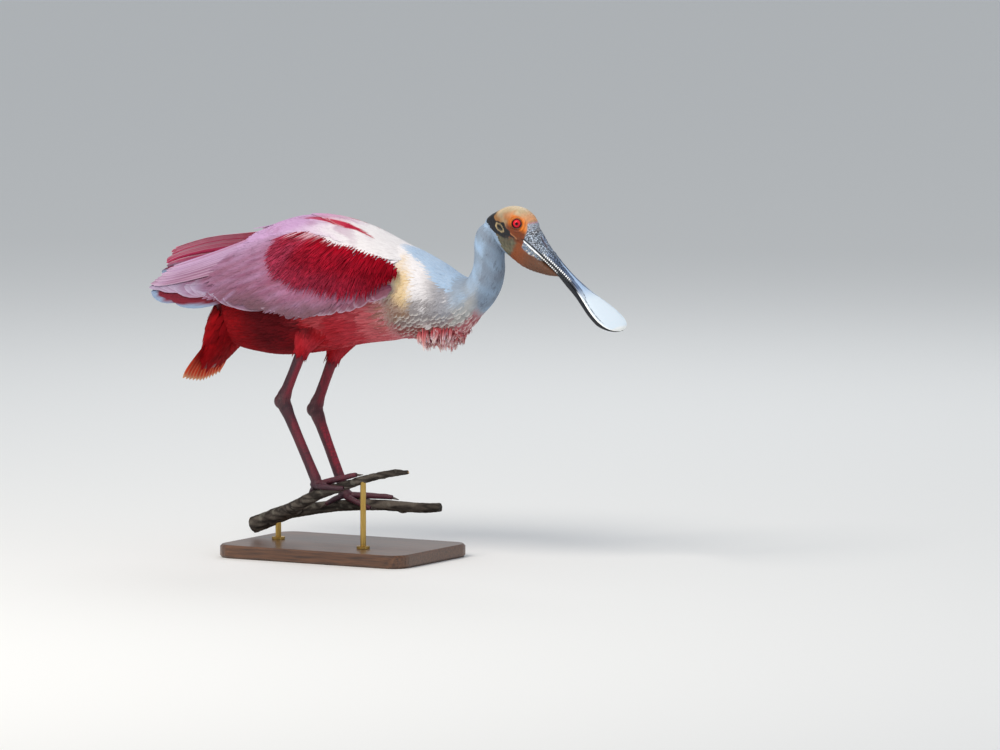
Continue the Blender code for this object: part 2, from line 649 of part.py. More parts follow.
def tail(torso_cutter, finishes, where, parent):
    along = (TAIL_TIP - TAIL_ROOT).normalized()
    across = Vector((0, 1, 0))
    under = along.cross(across).normalized()
    length = (TAIL_TIP - TAIL_ROOT).length
    vane = finishes["crimson feather"]
    rings = [
        ellipse_ring(
            TAIL_ROOT + along * (length * share), across, under, half * MM, belly * MM, back * MM, TAIL_SIDES
        )
        for share, belly, back, half in TAIL_CORE
    ]
    core = body_from("tail", loft(rings), vane, where, parent)

    def feather_sheet(name, turn, root, reach, half, rise):
        """A tail feather turned out from the middle; rise(share, column) is how far it stands to the belly."""
        lie = along * math.cos(turn) + across * math.sin(turn)
        flat = across * math.cos(turn) - along * math.sin(turn)

        def place(column, row):
            share, width = SHORT_OUTLINE[row]
            spot = root + lie * (reach * share) + flat * ((column - 1) * half * width)
            return spot + under * rise(share, column - 1)

        return sheet(name, 2, len(SHORT_OUTLINE) - 1, place, VANE_THICK, vane, where, parent)

    pieces = []
    for n in range(TAIL_FEATHERS):
        side = centred(n, TAIL_FEATHERS)
        root = TAIL_ROOT + along * (TAIL_FEATHER_START * length) + across * (TAIL_SPACING * side)
        reach = (1 - TAIL_FEATHER_START + 0.02) * length * (1 - TAIL_ROUNDING * side * side)
        level = (TAIL_ROOF * (1 - abs(side)) - 2.5) * MM
        pitch = math.copysign(TAIL_FEATHER_TILT, side)
        pieces.append(feather_sheet(
            f"rectrix_{n}", math.radians(TAIL_FAN * side), root, reach, TAIL_HALF,
            lambda share, k, level=level, pitch=pitch: level - k * pitch,
        ))
    for tier, (count, start, end, fan, half) in enumerate(TAIL_COVERT_TIERS):
        for n in range(count):
            side = centred(n, count)
            root = TAIL_ROOT + along * (start * length) + across * (TAIL_COVERT_SPACING * side)
            arch = math.sqrt(1 - 0.55 * side * side)

            def rise(share, k, tier=tier, start=start, end=end, arch=arch):
                depth = TAIL_COVERT_DEPTH * (1 - 0.72 * (start + (end - start) * share)) * arch
                return (depth + 1.5 * tier - 4 * (1 - share) + 0.9 * k) * MM

            pieces.append(feather_sheet(
                f"covert_{tier}_{n}", math.radians(fan * side), root, (end - start) * length, half * MM, rise
            ))
    join_pieces(core, pieces, FEATHER_SOLVER)
    cut_by(core, torso_cutter, FEATHER_SOLVER)


def head_ring(x, top, bottom, half):
    middle = 0.5 * (top + bottom) + 0.12 * (top - bottom)
    return ellipse_ring(
        Vector((x, 0, middle)) * MM, Vector((0, 1, 0)), Vector((0, 0, 1)),
        half * MM, (top - middle) * MM, (middle - bottom) * MM, HEAD_SIDES,
    )


def bill_half(name, upper, material, where, parent):
    """Half of the spoon bill, flat along the mouth line and arched on its outside."""
    rings = []
    for x, height, depth, half in BILL_SECTIONS:
        reach = height if upper else -depth
        crown = 1.0 if height > BILL_ROUND_ABOVE else BILL_FLAT_CROWN
        slant = BILL_BASE_SLANT * eased(10, -3, x)
        ring = []
        for n in range(BILL_ARCH_POINTS):
            angle = math.pi * n / (BILL_ARCH_POINTS - 1)
            z = reach * math.sin(angle) ** crown
            ring.append((x - slant * z, half * math.cos(angle), z))
        for y in (-0.5, 0.0, 0.5):
            ring.append((x, half * y, 0.0))
        level = GAP / MM if upper else -GAP / MM
        rings.append([Vector((px, py, pz + level)) * MM for px, py, pz in ring])
    return body_from(name, loft(rings), material, where, parent)


def head_and_bill(finishes, where, cutters, head_frame):
    skin, horn = finishes["bare head skin"], finishes["bill horn"]
    skull = body_from("head", loft([head_ring(*row) for row in HEAD_SECTIONS]), skin, where, head_frame)
    upper = bill_half("bill_upper", True, horn, where, head_frame)
    lower = bill_half("bill_lower", False, horn, where, head_frame)
    rims, holes, eyes = [], [], []
    for side in (RIGHT, LEFT):
        outward = Matrix.Rotation(math.radians(90 * -side), 4, "X")
        lid_turn = Matrix.Rotation(math.radians(-LID_LEAN * side), 4, "Z") @ outward
        ear_turn = Matrix.Rotation(math.radians(EAR_LEAN * side), 4, "Z") @ outward
        lid_place, ear_place = mirrored(EYE_PLACE + LID_OFFSET, side), mirrored(EAR_PLACE, side)
        rims.append(hoop("lid", lid_place, LID_RING, LID_RING, LID_ROLL, lid_turn, skin, where, head_frame))
        rims.append(hoop("ear", ear_place, EAR_LONG, EAR_SHORT, EAR_ROLL, ear_turn, skin, where, head_frame))
        eye_name, eye_place, eye_size = "eye_" + SIDE_NAMES[side], mirrored(EYE_PLACE, side), (EYE_RADIUS,) * 3
        eyes.append(ball(eye_name, eye_place, eye_size, 12, 8, finishes["eye"], where, head_frame))
        hole_place = mirrored(EAR_PLACE + EAR_HOLE_OFFSET, side)
        holes.append(as_cutter(ball("ear_hole", hole_place, EAR_HOLE_SIZE, 8, 6, skin, cutters, head_frame)))
        slit_place = mirrored(NOSTRIL_PLACE, side)
        cut_by(upper, as_cutter(ball("nostril", slit_place, NOSTRIL_SIZE, 8, 6, horn, cutters, head_frame)))
    join_pieces(skull, rims)
    for hole in holes:
        cut_by(skull, hole)
    for part in (upper, lower, *eyes):
        cut_by(skull, swollen_copy(part, cutters))
    return skull


def line_lengths(points):
    """The distance along a line of points at each of them."""
    lengths = [0.0]
    for before, after in zip(points, points[1:]):
        lengths.append(lengths[-1] + (Vector(after[:3]) - Vector(before[:3])).length)
    return lengths


def limb_at(points, reach):
    """Centre, direction and radius of a limb's middle line at a length from its first point, in millimetres."""
    line = Profile([(length, *point) for length, point in zip(line_lengths(points), points)])
    x, y, z, radius = line(reach)
    ahead, behind = line(reach + 1.0), line(reach - 1.0)
    return Vector((x, y, z)), (Vector(ahead[:3]) - Vector(behind[:3])).normalized(), radius


def limb_tube(name, points, count, material, where, parent):
    """A branch through its listed places, rounded off between them."""
    total = line_lengths(points)[-1]
    spots = []
    for n in range(count):
        centre, _, radius = limb_at(points, total * n / (count - 1))
        spots.append((centre * MM, radius * MM))
    return tube(name, spots, LIMB_RESOLUTION, material, where, parent)


def perch(finishes, where, cutters, parent):
    """The forked limb as two nodes: the trunk with the right branch, and the left branch fitted to it."""
    bark = finishes["bark"]
    limb = limb_tube("perch_limb", TRUNK, 6, bark, where, parent)
    branch = limb_tube("perch_branch", LIMB_LEFT, 12, bark, where, parent)
    arm = limb_tube("limb_right", LIMB_RIGHT, 13, bark, where, parent)
    knots = {RIGHT: [], LEFT: []}
    for n, (side, x, y, z, radius) in enumerate(KNOTS):
        size = Vector(KNOT_SHAPE) * radius * MM
        knots[side].append(ball(f"knot_{n}", Vector((x, y, z)) * MM, size, 8, 6, bark, where, parent))
    join_pieces(limb, [arm, *knots[RIGHT]])
    join_pieces(branch, knots[LEFT])
    for rod in stand(finishes, where, parent):
        cut_by(limb, swollen_copy(rod, cutters))
    cut_by(branch, swollen_copy(limb, cutters))
    return {RIGHT: limb, LEFT: branch}


def toe_spot(side, toe, share):
    """Centre and radius of a toe, from its root at 0 to its end at 1 and on along the claw to 2."""
    reach, start, end, root_radius = TOES[toe]
    points = LIMB_RIGHT if side == RIGHT else LIMB_LEFT
    joint = LEG_JOINTS[side][2]
    joint_reach = line_lengths(points)[FOOT_POINT]
    body = min(share, 1.0)
    claw = max(share - 1.0, 0.0)
    length = math.hypot(reach, math.radians(end - start) * TOE_WRAP_RADIUS)
    part = body + claw * (CLAW_REACH / MM) / length
    centre, along, limb_radius = limb_at(points, joint_reach + reach * part)
    angle = math.radians(start + (end - start) * part)
    across = along.cross(Vector((0, 0, 1))).normalized()
    up = across.cross(along).normalized()
    outward = across if side == RIGHT else -across
    radius = root_radius * (1 - (1 - TOE_END_SHARE) * body)
    knuckle = TOE_KNUCKLE * math.sin(3 * math.pi * body) ** 2
    if claw > 0.0:
        radius = (CLAW_RADIUS + (CLAW_TIP - CLAW_RADIUS) * claw) / MM
        knuckle = 0.0
    away = limb_radius + radius + knuckle + TOE_CLEARANCE
    place = centre + up * (away * math.cos(angle)) + outward * (away * math.sin(angle))
    settle = eased(0.35, 0.0, body)
    place = place * (1 - settle) + (joint / MM + TOE_ROOT_OFFSET) * settle
    return place * MM, (radius + knuckle) * MM


def leg_length(name, start, end, sections, sides, material, where, parent):
    """A straight length of leg, deep fore and aft, ending a gap short of the next piece."""
    along = (end - start).normalized()
    side = Vector((0, 1, 0))
    fore = side.cross(along).normalized()
    rings = []
    for share, depth, width in sections:
        place = start + (end - start) * share - along * (GAP if share == sections[-1][0] else 0.0)
        rings.append(ellipse_ring(place, side, fore, width * MM, depth * MM, depth * MM, sides))
    return body_from(name, loft(rings), material, where, parent)


def leg(side, torso_cutter, perch_cutter, finishes, where, cutters, parent):
    word = SIDE_NAMES[side]
    skin, down_feather = finishes["leg skin"], finishes["crimson feather"]
    hip, heel, joint = LEG_JOINTS[side]
    thigh_top = hip - (heel - hip).normalized() * THIGH_REACH
    thigh = leg_length("thigh_" + word, thigh_top, hip, THIGH_SECTIONS, 14, down_feather, where, parent)
    cut_by(thigh, torso_cutter)
    shank = leg_length("shank_" + word, hip, heel, SHANK_SECTIONS, 12, skin, where, parent)
    down = (joint - heel).normalized()
    ankle = joint - down * CUFF_REACH
    tarsus = leg_length("tarsus_" + word, heel, ankle, TARSUS_SECTIONS, 12, skin, where, parent)
    knob_place = heel + down * HEEL_DROP + HEEL_OFFSET
    join_pieces(tarsus, [ball("heel", knob_place, HEEL_SIZE, 12, 8, skin, where, parent)])
    cut_by(shank, swollen_copy(tarsus, cutters))
    foot = ball("foot_" + word, joint + PALM_OFFSET, PALM_SIZE, 12, 8, skin, where, parent)
    cuff_ends = [(ankle, CUFF_RADIUS), (joint + down * CUFF_REACH, CUFF_RADIUS)]
    cuff = tube("cuff", cuff_ends, 4, skin, where, parent)
    toes = []
    for toe in TOES:
        spots = [toe_spot(side, toe, n / TOE_STEPS) for n in range(TOE_STEPS + 1)]
        toes.append(tube("toe_" + toe, spots, 2, skin, where, parent))
    join_pieces(foot, [cuff, *toes])
    cut_by(foot, perch_cutter)
    for toe in TOES:
        spots = [toe_spot(side, toe, 1.0 + share) for share in CLAW_STEPS]
        tube(f"claw_{word}_{toe}", spots, 1, finishes["claw"], where, parent)


def stand(finishes, where, parent):
    """The flat base and its rods. Returns the rods."""
    bm = bmesh.new()
    bmesh.ops.create_cube(bm, size=1.0)
    bmesh.ops.scale(bm, vec=(BASE_LENGTH, BASE_WIDTH, BASE_THICK), verts=bm.verts)
    upright = [edge for edge in bm.edges if abs(edge.verts[0].co.z - edge.verts[1].co.z) > BASE_THICK / 2]
    bmesh.ops.bevel(bm, geom=upright, offset=BASE_CORNER, segments=6, profile=0.5, affect="EDGES")
    base = body_from("stand_base", bm, finishes["stand wood"], where, parent)
    base.location = (BASE_CENTRE_X, 0, BASE_THICK / 2)
    eased_edge = base.modifiers.new("eased edge", "BEVEL")
    eased_edge.width = BASE_EDGE
    eased_edge.segments = 1
    eased_edge.limit_method = "ANGLE"
    eased_edge.angle_limit = math.radians(60)
    rods = []
    for name, (foot, top) in RODS.items():
        bm = bmesh.new()
        flange_top = BASE_THICK + GAP + ROD_FLANGE_THICK
        profile = [
            (0.0, top), (ROD_RADIUS, top), (ROD_RADIUS, flange_top + ROD_FILLET), (ROD_FLANGE, flange_top),
            (ROD_FLANGE, BASE_THICK + GAP), (0.0, BASE_THICK + GAP),
        ]
        spots = [bm.verts.new((radius, 0, z)) for radius, z in profile]
        for upper, lower in zip(spots, spots[1:]):
            bm.edges.new((upper, lower))
        rod = body_from(name, bm, finishes["stand metal"], where, parent)
        rod.location = foot
        turning = rod.modifiers.new("turned", "SCREW")
        turning.angle = 2 * math.pi
        turning.screw_offset = 0.0
        turning.steps = ROD_STEPS
        turning.render_steps = ROD_STEPS
        turning.use_merge_vertices = True
        turning.merge_threshold = WELD
        rods.append(rod)
    return rods


def main():
    clear_scene()
    where = collection("roseate_spoonbill")
    cutters = collection("cutters", hidden=True)
    origin = holder("model_origin", CENTRE_SHIFT, (0, 0, 0))
    head_turn = (math.radians(HEAD_ROLL), math.radians(HEAD_PITCH), 0)
    head_frame = holder("head_frame", HEAD_ORIGIN, head_turn, origin)
    finishes = {name: finish(name, colour, roughness) for name, (colour, roughness) in FINISHES.items()}
    crimson, white = finishes["crimson feather"], finishes["white feather"]
    torso = body_length("torso", TORSO_FIRST, TORSO_LAST, 1.3, crimson, where, origin)
    torso_cutter = swollen_copy(torso, cutters)
    join_pieces(torso, breast_tuft(finishes["pink feather"], where, origin))
    body_length("neck_lower", TORSO_LAST, NECK_SPLIT, 2, white, where, origin)
    neck_upper = body_length("neck_upper", NECK_SPLIT, NECK_LAST, 1.5, white, where, origin)
    skull = head_and_bill(finishes, where, cutters, head_frame)
    cut_by(neck_upper, swollen_copy(skull, cutters))
    for side in (RIGHT, LEFT):
        wing(side, torso_cutter, finishes, where, cutters, origin)
    tail(torso_cutter, finishes, where, origin)
    branches = perch(finishes, where, cutters, origin)
    for side in (RIGHT, LEFT):
        leg(side, torso_cutter, swollen_copy(branches[side], cutters), finishes, where, cutters, origin)
    for body in where.objects:
        if body.data.polygons:
            body.data.shade_smooth()
            body.data.set_sharp_from_angle(angle=SMOOTH_BELOW)


main()
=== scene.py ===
import json
import math

import bmesh
import bpy
import numpy as np
from mathutils import Euler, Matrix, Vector

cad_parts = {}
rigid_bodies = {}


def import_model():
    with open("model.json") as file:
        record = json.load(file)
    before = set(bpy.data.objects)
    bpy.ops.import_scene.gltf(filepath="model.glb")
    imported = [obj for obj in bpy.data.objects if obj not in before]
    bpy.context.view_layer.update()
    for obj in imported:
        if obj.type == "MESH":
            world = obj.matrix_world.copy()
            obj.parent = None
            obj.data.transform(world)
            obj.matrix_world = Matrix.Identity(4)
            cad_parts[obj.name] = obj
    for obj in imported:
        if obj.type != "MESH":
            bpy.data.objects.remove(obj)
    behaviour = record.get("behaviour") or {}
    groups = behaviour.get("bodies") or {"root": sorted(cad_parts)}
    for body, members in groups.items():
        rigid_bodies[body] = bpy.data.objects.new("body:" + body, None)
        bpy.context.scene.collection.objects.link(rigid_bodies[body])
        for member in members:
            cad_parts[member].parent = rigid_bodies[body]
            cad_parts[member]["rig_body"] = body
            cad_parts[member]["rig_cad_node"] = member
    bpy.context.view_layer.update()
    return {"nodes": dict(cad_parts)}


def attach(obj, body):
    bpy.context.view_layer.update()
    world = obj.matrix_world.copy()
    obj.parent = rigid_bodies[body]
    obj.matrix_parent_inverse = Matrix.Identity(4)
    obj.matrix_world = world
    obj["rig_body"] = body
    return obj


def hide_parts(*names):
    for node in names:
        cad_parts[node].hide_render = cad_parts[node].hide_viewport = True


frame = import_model()
nodes = frame["nodes"]
draw = np.random.default_rng(7)
mm = 0.001
modelShift = np.array((0.0157, 0.0, 0.0))  # where the CAD source's own origin stands
for startup in ("Cube", "Light", "Camera"):
    if startup in bpy.data.objects:
        bpy.data.objects.remove(bpy.data.objects[startup], do_unlink=True)
print("frame loaded")


# Small helpers.
def linear(hexColour):
    # sRGB hex to the linear numbers that shaders work in
    parts = [int(hexColour[i:i + 2], 16) / 255 for i in (1, 3, 5)]
    return np.array([p / 12.92 if p <= 0.04045 else ((p + 0.055) / 1.055) ** 2.4 for p in parts])


def deselectAll():
    if bpy.context.mode != "OBJECT":
        bpy.ops.object.mode_set(mode="OBJECT")
    bpy.ops.object.select_all(action="DESELECT")


def pick(piece):
    deselectAll()
    piece.select_set(True)
    bpy.context.view_layer.objects.active = piece


def pointsOf(piece):
    points = np.empty(len(piece.data.vertices) * 3)
    piece.data.vertices.foreach_get("co", points)
    return points.reshape(-1, 3)


def setPoints(piece, points):
    piece.data.vertices.foreach_set("co", np.asarray(points, np.float32).ravel())
    piece.data.update()


def normalsOf(piece):
    normals = np.empty(len(piece.data.vertices) * 3)
    piece.data.vertex_normals.foreach_get("vector", normals)
    return normals.reshape(-1, 3)


def useModifier(piece, kind, settings):
    # adds a modifier and applies it at once
    pick(piece)
    made = piece.modifiers.new(kind.lower(), kind)
    for key, value in settings.items():
        setattr(made, key, value)
    bpy.ops.object.modifier_apply(modifier=made.name)


def copyOf(nodeNames, name, swell=0.0):
    # one merged piece from copies of CAD nodes
    copies = []
    for nodeName in nodeNames:
        piece = nodes[nodeName].copy()
        piece.data = nodes[nodeName].data.copy()
        piece.parent = None
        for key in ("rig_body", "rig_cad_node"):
            del piece[key]
        bpy.context.scene.collection.objects.link(piece)
        pick(piece)
        bpy.ops.object.mode_set(mode="EDIT")
        bpy.ops.mesh.select_all(action="SELECT")
        bpy.ops.mesh.remove_doubles(threshold=0.00002)
        bpy.ops.object.mode_set(mode="OBJECT")
        if swell:
            setPoints(piece, pointsOf(piece) + normalsOf(piece) * swell)
        copies.append(piece)
    return joined(copies, name)


def joined(pieces, name):
    deselectAll()
    for piece in pieces:
        piece.select_set(True)
    bpy.context.view_layer.objects.active = pieces[0]
    if len(pieces) > 1:
        bpy.ops.object.join()
    pieces[0].name = name
    pieces[0].data.name = name
    pieces[0].data.materials.clear()
    return pieces[0]


def fused(piece, other):
    # one closed surface out of two that cross
    useModifier(piece, "BOOLEAN", {"operation": "UNION", "object": other, "solver": "MANIFOLD"})
    bpy.data.objects.remove(other, do_unlink=True)


def smoothStep(low, high, at):
    t = np.clip((at - low) / (high - low), 0.0, 1.0)
    return t * t * (3 - 2 * t)


def smoothRows(rows, at):
    # a table's columns at any place, on smooth curves through its rows
    table = np.array(sorted(rows), float)
    keys, values = table[:, 0], table[:, 1:]
    low = np.maximum(np.arange(len(keys)) - 1, 0)
    high = np.minimum(np.arange(len(keys)) + 1, len(keys) - 1)
    slopes = (values[high] - values[low]) / (keys[high] - keys[low])[:, None]
    at = np.clip(at, keys[0], keys[-1])
    i = np.clip(np.searchsorted(keys, at, side="right") - 1, 0, len(keys) - 2)
    span = (keys[i + 1] - keys[i])[..., None]
    t = (at - keys[i])[..., None] / span
    start = values[i] * (2 * t**3 - 3 * t**2 + 1) + slopes[i] * span * (t**3 - 2 * t**2 + t)
    return np.moveaxis(start + values[i + 1] * (3 * t**2 - 2 * t**3) + slopes[i + 1] * span * (t**3 - t**2), -1, 0)


rippleWaves = [draw.normal(size=(7, 3)) for n in range(8)]


def ripple(points, size, kind=0):
    # smooth seeded waves, about -1 to 1, with lumps of the given size
    total = 0.0
    for n, wave in enumerate(rippleWaves[kind]):
        total = total + np.sin(points @ (wave * 2.2 / size) + 1.7 * n + 0.9 * kind)
    return total / 3.0


def gauss(distance, width):
    return np.exp(-(distance / width) ** 2)


def mixed(low, high, share):
    share = np.clip(share, 0.0, 1.0)[..., None]
    return low * (1 - share) + high * share


def inOutline(outline, a, b, soft):
    # 1 inside a closed outline and 0 outside, over a soft edge
    nearest = np.full(np.shape(a), 1e9)
    inside = np.zeros(np.shape(a), bool)
    for (a0, b0), (a1, b1) in zip(outline, outline[1:] + outline[:1]):
        da, db = a1 - a0, b1 - b0
        t = np.clip(((a - a0) * da + (b - b0) * db) / (da * da + db * db), 0, 1)
        nearest = np.minimum(nearest, np.hypot(a - a0 - t * da, b - b0 - t * db))
        crosses = (b0 > b) != (b1 > b)
        inside ^= crosses & (a < a0 + da * (b - b0) / np.where(db == 0, 1e-9, db))
    return smoothStep(-soft, soft, np.where(inside, nearest, -nearest))


def meshPiece(name, points, faceSets):
    # a mesh straight from arrays, for what is repeated thousands of times
    mesh = bpy.data.meshes.new(name)
    mesh.vertices.add(len(points))
    mesh.vertices.foreach_set("co", np.asarray(points, np.float32).ravel())
    corners = np.concatenate([faces.ravel() for faces in faceSets]).astype(np.int32)
    sizes = np.concatenate([np.full(len(faces), faces.shape[1]) for faces in faceSets])
    mesh.loops.add(len(corners))
    mesh.loops.foreach_set("vertex_index", corners)
    mesh.polygons.add(len(sizes))
    mesh.polygons.foreach_set("loop_start", (np.cumsum(sizes) - sizes).astype(np.int32))
    mesh.update(calc_edges=True)
    piece = bpy.data.objects.new(name, mesh)
    bpy.context.scene.collection.objects.link(piece)
    return piece


def setColour(piece, name, values):
    layer = piece.data.attributes.new(name, "FLOAT_COLOR", "POINT")
    four = np.ones((len(values), 4), np.float32)
    four[:, :values.shape[1]] = values
    layer.data.foreach_set("color", four.ravel())


def smoothShaded(piece, angle=None):
    pick(piece)
    if angle is None:
        bpy.ops.object.shade_smooth()
    else:
        bpy.ops.object.shade_smooth_by_angle(angle=math.radians(angle))


def rolledGrid(name, columns, rows, place):
    # a grid primitive rolled into a closed tube: place(share along, angle round it in degrees)
    deselectAll()
    bpy.ops.mesh.primitive_grid_add(x_subdivisions=columns, y_subdivisions=rows, size=2)
    piece = bpy.context.object
    piece.name = name
    flat = pointsOf(piece)
    setPoints(piece, place((flat[:, 1] + 1) / 2, (flat[:, 0] + 1) * 180))
    bpy.ops.object.mode_set(mode="EDIT")
    bpy.ops.mesh.select_all(action="SELECT")
    bpy.ops.mesh.remove_doubles(threshold=1e-6)
    bpy.ops.mesh.fill_holes(sides=0)
    bpy.ops.mesh.normals_make_consistent(inside=False)
    bpy.ops.object.mode_set(mode="OBJECT")
    return piece


# Camera, floor and light.
view = {"yaw": 30.0, "elevation": 6.0, "distance": 20.0, "lens": 600.0, "across": 0.1284, "up": 0.222}
yaw, tiltUp = math.radians(view["yaw"]), math.radians(view["elevation"])
toCamera = Vector((math.sin(yaw) * math.cos(tiltUp), -math.cos(yaw) * math.cos(tiltUp), math.sin(tiltUp)))
cameraRight = Vector((math.cos(yaw), math.sin(yaw), 0))
cameraUp = toCamera.cross(cameraRight)
target = cameraRight * view["across"] + cameraUp * view["up"] + Vector(modelShift)
bpy.ops.object.camera_add(location=target + toCamera * view["distance"])
camera = bpy.context.object
camera.rotation_euler = toCamera.to_track_quat("Z", "Y").to_euler()
camera.data.lens = view["lens"]
camera.data.sensor_width = 36.0
camera.data.clip_end = 200.0
bpy.context.scene.camera = camera

lamps = {
    "key": {"right": -1.5, "up": 2.1, "front": 1.7, "size": 1.4, "watts": 62, "colour": "#FFF6EA"},
    "fill": {"right": 2.3, "up": 0.8, "front": 1.8, "size": 2.6, "watts": 8, "colour": "#EAF1FF"},
    "rim": {"right": 0.4, "up": 2.0, "front": -2.0, "size": 1.6, "watts": 14, "colour": "#FFFFFF"},
}
middle = Vector((0, 0, 0.25))
for name, lamp in lamps.items():
    place = middle + cameraRight * lamp["right"] + cameraUp * lamp["up"] + toCamera * lamp["front"]
    bpy.ops.object.light_add(type="AREA", location=place)
    light = bpy.context.object
    light.name = name
    light.data.shape = "DISK"
    light.data.size = lamp["size"]
    light.data.energy = lamp["watts"]
    light.data.color = linear(lamp["colour"])
    light.rotation_euler = (place - middle).to_track_quat("Z", "Y").to_euler()
world = bpy.data.worlds.new("pale studio")
world.use_nodes = True
world.node_tree.nodes["Background"].inputs["Color"].default_value = (*linear("#EEF2F6"), 1)
world.node_tree.nodes["Background"].inputs["Strength"].default_value = 0.56
bpy.context.scene.world = world
bpy.context.scene.view_settings.view_transform = "Standard"

deselectAll()
bpy.ops.mesh.primitive_plane_add(size=90)
floor = bpy.context.object
floor.name = "floor"
print("camera, lights and floor placed")


# Materials.
def newMaterial(name, shaderSettings):
    material = bpy.data.materials.new(name)
    material.use_nodes = True
    shader = material.node_tree.nodes["Principled BSDF"]
    for key, value in shaderSettings.items():
        shader.inputs[key].default_value = value
    return material, material.node_tree, shader


def addNode(tree, kind, settings=None, links=None):
    # adds a node: its properties and inputs by name, and the outputs that feed it
    node = tree.nodes.new("ShaderNode" + kind)
    for key, value in (settings or {}).items():
        if key == "stops":
            for n, (place, colour) in enumerate(value):
                stop = node.color_ramp.elements[n] if n < 2 else node.color_ramp.elements.new(place)
                stop.position = place
                stop.color = (*linear(colour), 1)
        elif isinstance(key, str) and hasattr(node, key):
            setattr(node, key, value)
        else:
            node.inputs[key].default_value = value
    for key, output in (links or {}).items():
        tree.links.new(output, node.inputs[key])
    return node


def painted(name, settings, grain, bump, mottle=0.1, extra=None):
    # a finish whose colour is the piece's own "tint", broken up and embossed by grain in millimetres
    material, tree, shader = newMaterial(name, settings)
    tint = addNode(tree, "Attribute", {"attribute_name": "tint"})
    place = addNode(tree, "TexCoord")
    fine = addNode(
        tree, "TexNoise", {"Scale": 1 / (grain * mm), "Detail": 3.0, "Roughness": 0.6},
        {"Vector": place.outputs["Object"]},
    )
    level = addNode(
        tree, "MapRange", {"From Min": 0.3, "From Max": 0.7, "To Min": 1 - mottle, "To Max": 1 + mottle},
        {"Value": fine.outputs["Fac"]},
    )
    shaded = addNode(
        tree, "VectorMath", {"operation": "SCALE"},
        {0: tint.outputs["Color"], "Scale": level.outputs["Result"]},
    )
    height = fine.outputs["Fac"]
    colour = shaded.outputs["Vector"]
    if extra:
        colour, height = extra(tree, place, colour, height)
    raised = addNode(tree, "Bump", {"Strength": 0.6, "Distance": bump * mm}, {"Height": height})
    tree.links.new(colour, shader.inputs["Base Color"])
    tree.links.new(raised.outputs["Normal"], shader.inputs["Normal"])
    return material


def featherFinish(name, roughness, shine, barbShade, bump):
    # feather vane: keratin barbs, matt with a soft sheen. "vane" holds barb phase, place across and a draw
    material, tree, shader = newMaterial(name, {
        "Roughness": roughness, "Specular IOR Level": shine, "Sheen Weight": shine * 0.3, "Sheen Roughness": 0.4,
    })
    tint = addNode(tree, "Attribute", {"attribute_name": "tint"})
    vane = addNode(tree, "Attribute", {"attribute_name": "vane"})
    split = addNode(tree, "SeparateXYZ", {}, {"Vector": vane.outputs["Vector"]})
    barbs = addNode(tree, "Math", {"operation": "SINE"}, {0: split.outputs["X"]})
    level = addNode(
        tree, "MapRange", {"From Min": -1.0, "From Max": 1.0, "To Min": 1 - barbShade, "To Max": 1 + barbShade},
        {"Value": barbs.outputs["Value"]},
    )
    shaded = addNode(
        tree, "VectorMath", {"operation": "SCALE"},
        {0: tint.outputs["Color"], "Scale": level.outputs["Result"]},
    )
    raised = addNode(tree, "Bump", {"Strength": 0.5, "Distance": bump * mm}, {"Height": barbs.outputs["Value"]})
    tree.links.new(shaded.outputs["Vector"], shader.inputs["Base Color"])
    tree.links.new(raised.outputs["Normal"], shader.inputs["Normal"])
    return material


# matt painted board, rolled: the floor of the stage
floorFinish, floorTree, floorShader = newMaterial("rolled matt paint", {"Roughness": 0.9})
floorNoise = addNode(floorTree, "TexNoise", {"Scale": 3.0, "Detail": 2.0})
floorRamp = addNode(
    floorTree, "ValToRGB", {"stops": [(0.3, "#ECEEEF"), (0.7, "#F1F2F3")]}, {"Fac": floorNoise.outputs["Fac"]}
)
floorTree.links.new(floorRamp.outputs["Color"], floorShader.inputs["Base Color"])
floor.data.materials.append(floorFinish)


# The bird's surfaces, from the named values of the CAD source, in millimetres.
bodyRows = [  # number of the cross-section: x, z, tilt of the spine, reach up, reach down, half width
    (0, -229, 301, -40, 14, 17, 16), (1, -212, 303, -14, 45, 50, 35), (2, -180, 312, 0, 68, 69, 47),
    (3, -140, 322, 0, 77, 80, 57), (4, -90, 329, 0, 76, 80, 61), (5, -40, 331, 0, 69, 71, 61),
    (6, 0, 328, 0, 57, 62, 57), (7, 30, 324, 0, 53, 54, 51), (8, 67, 316, 0, 45.5, 48, 41),
    (9, 92, 316, 8, 35, 37, 31), (10, 111, 323, 23, 24.5, 24.5, 24.5), (11, 122, 332, 46, 21, 21, 21),
    (12, 129, 344, 67, 20, 20.5, 19), (13, 133, 358, 82, 19, 19.5, 17.5), (14, 134, 372, 80, 18.5, 18.3, 17),
    (15, 134.5, 386, 80, 19.3, 18, 16.5), (16, 137, 399, 74, 18, 17, 16), (17, 141, 408, 62, 12, 15, 14),
]
shellRows = [  # x, height of the ridge, of the widest line and of the lowest line, half width
    (45, 366, 330, 262, 54), (5, 384, 330, 254, 63), (-40, 402, 330, 243, 68), (-88, 410, 330, 237, 69),
    (-130, 407, 330, 239, 67), (-175, 391, 330, 244, 61), (-215, 376, 330, 250, 52),
    (-255, 362, 326, 254, 44), (-295, 347, 320, 256, 36), (-335, 331, 312, 258, 29),
]
headRows = [  # x along the bill, top, bottom, half width
    (-58, -14, -22, 7), (-55.5, -7, -27, 13.5), (-49, 7.5, -32, 18), (-40, 16.8, -35, 20),
    (-29, 22.4, -36.5, 20.2), (-19, 23.6, -36.5, 19), (-10, 22.4, -36, 16.8), (-3, 19, -35.4, 14.4),
    (5, 9, -34.5, 12.8), (13, 0, -32.8, 12), (24, -4.5, -28.6, 11.2), (36, -5, -22.4, 9.8),
    (47, -4.6, -16, 7.8), (57, -4, -8, 4.6),
]
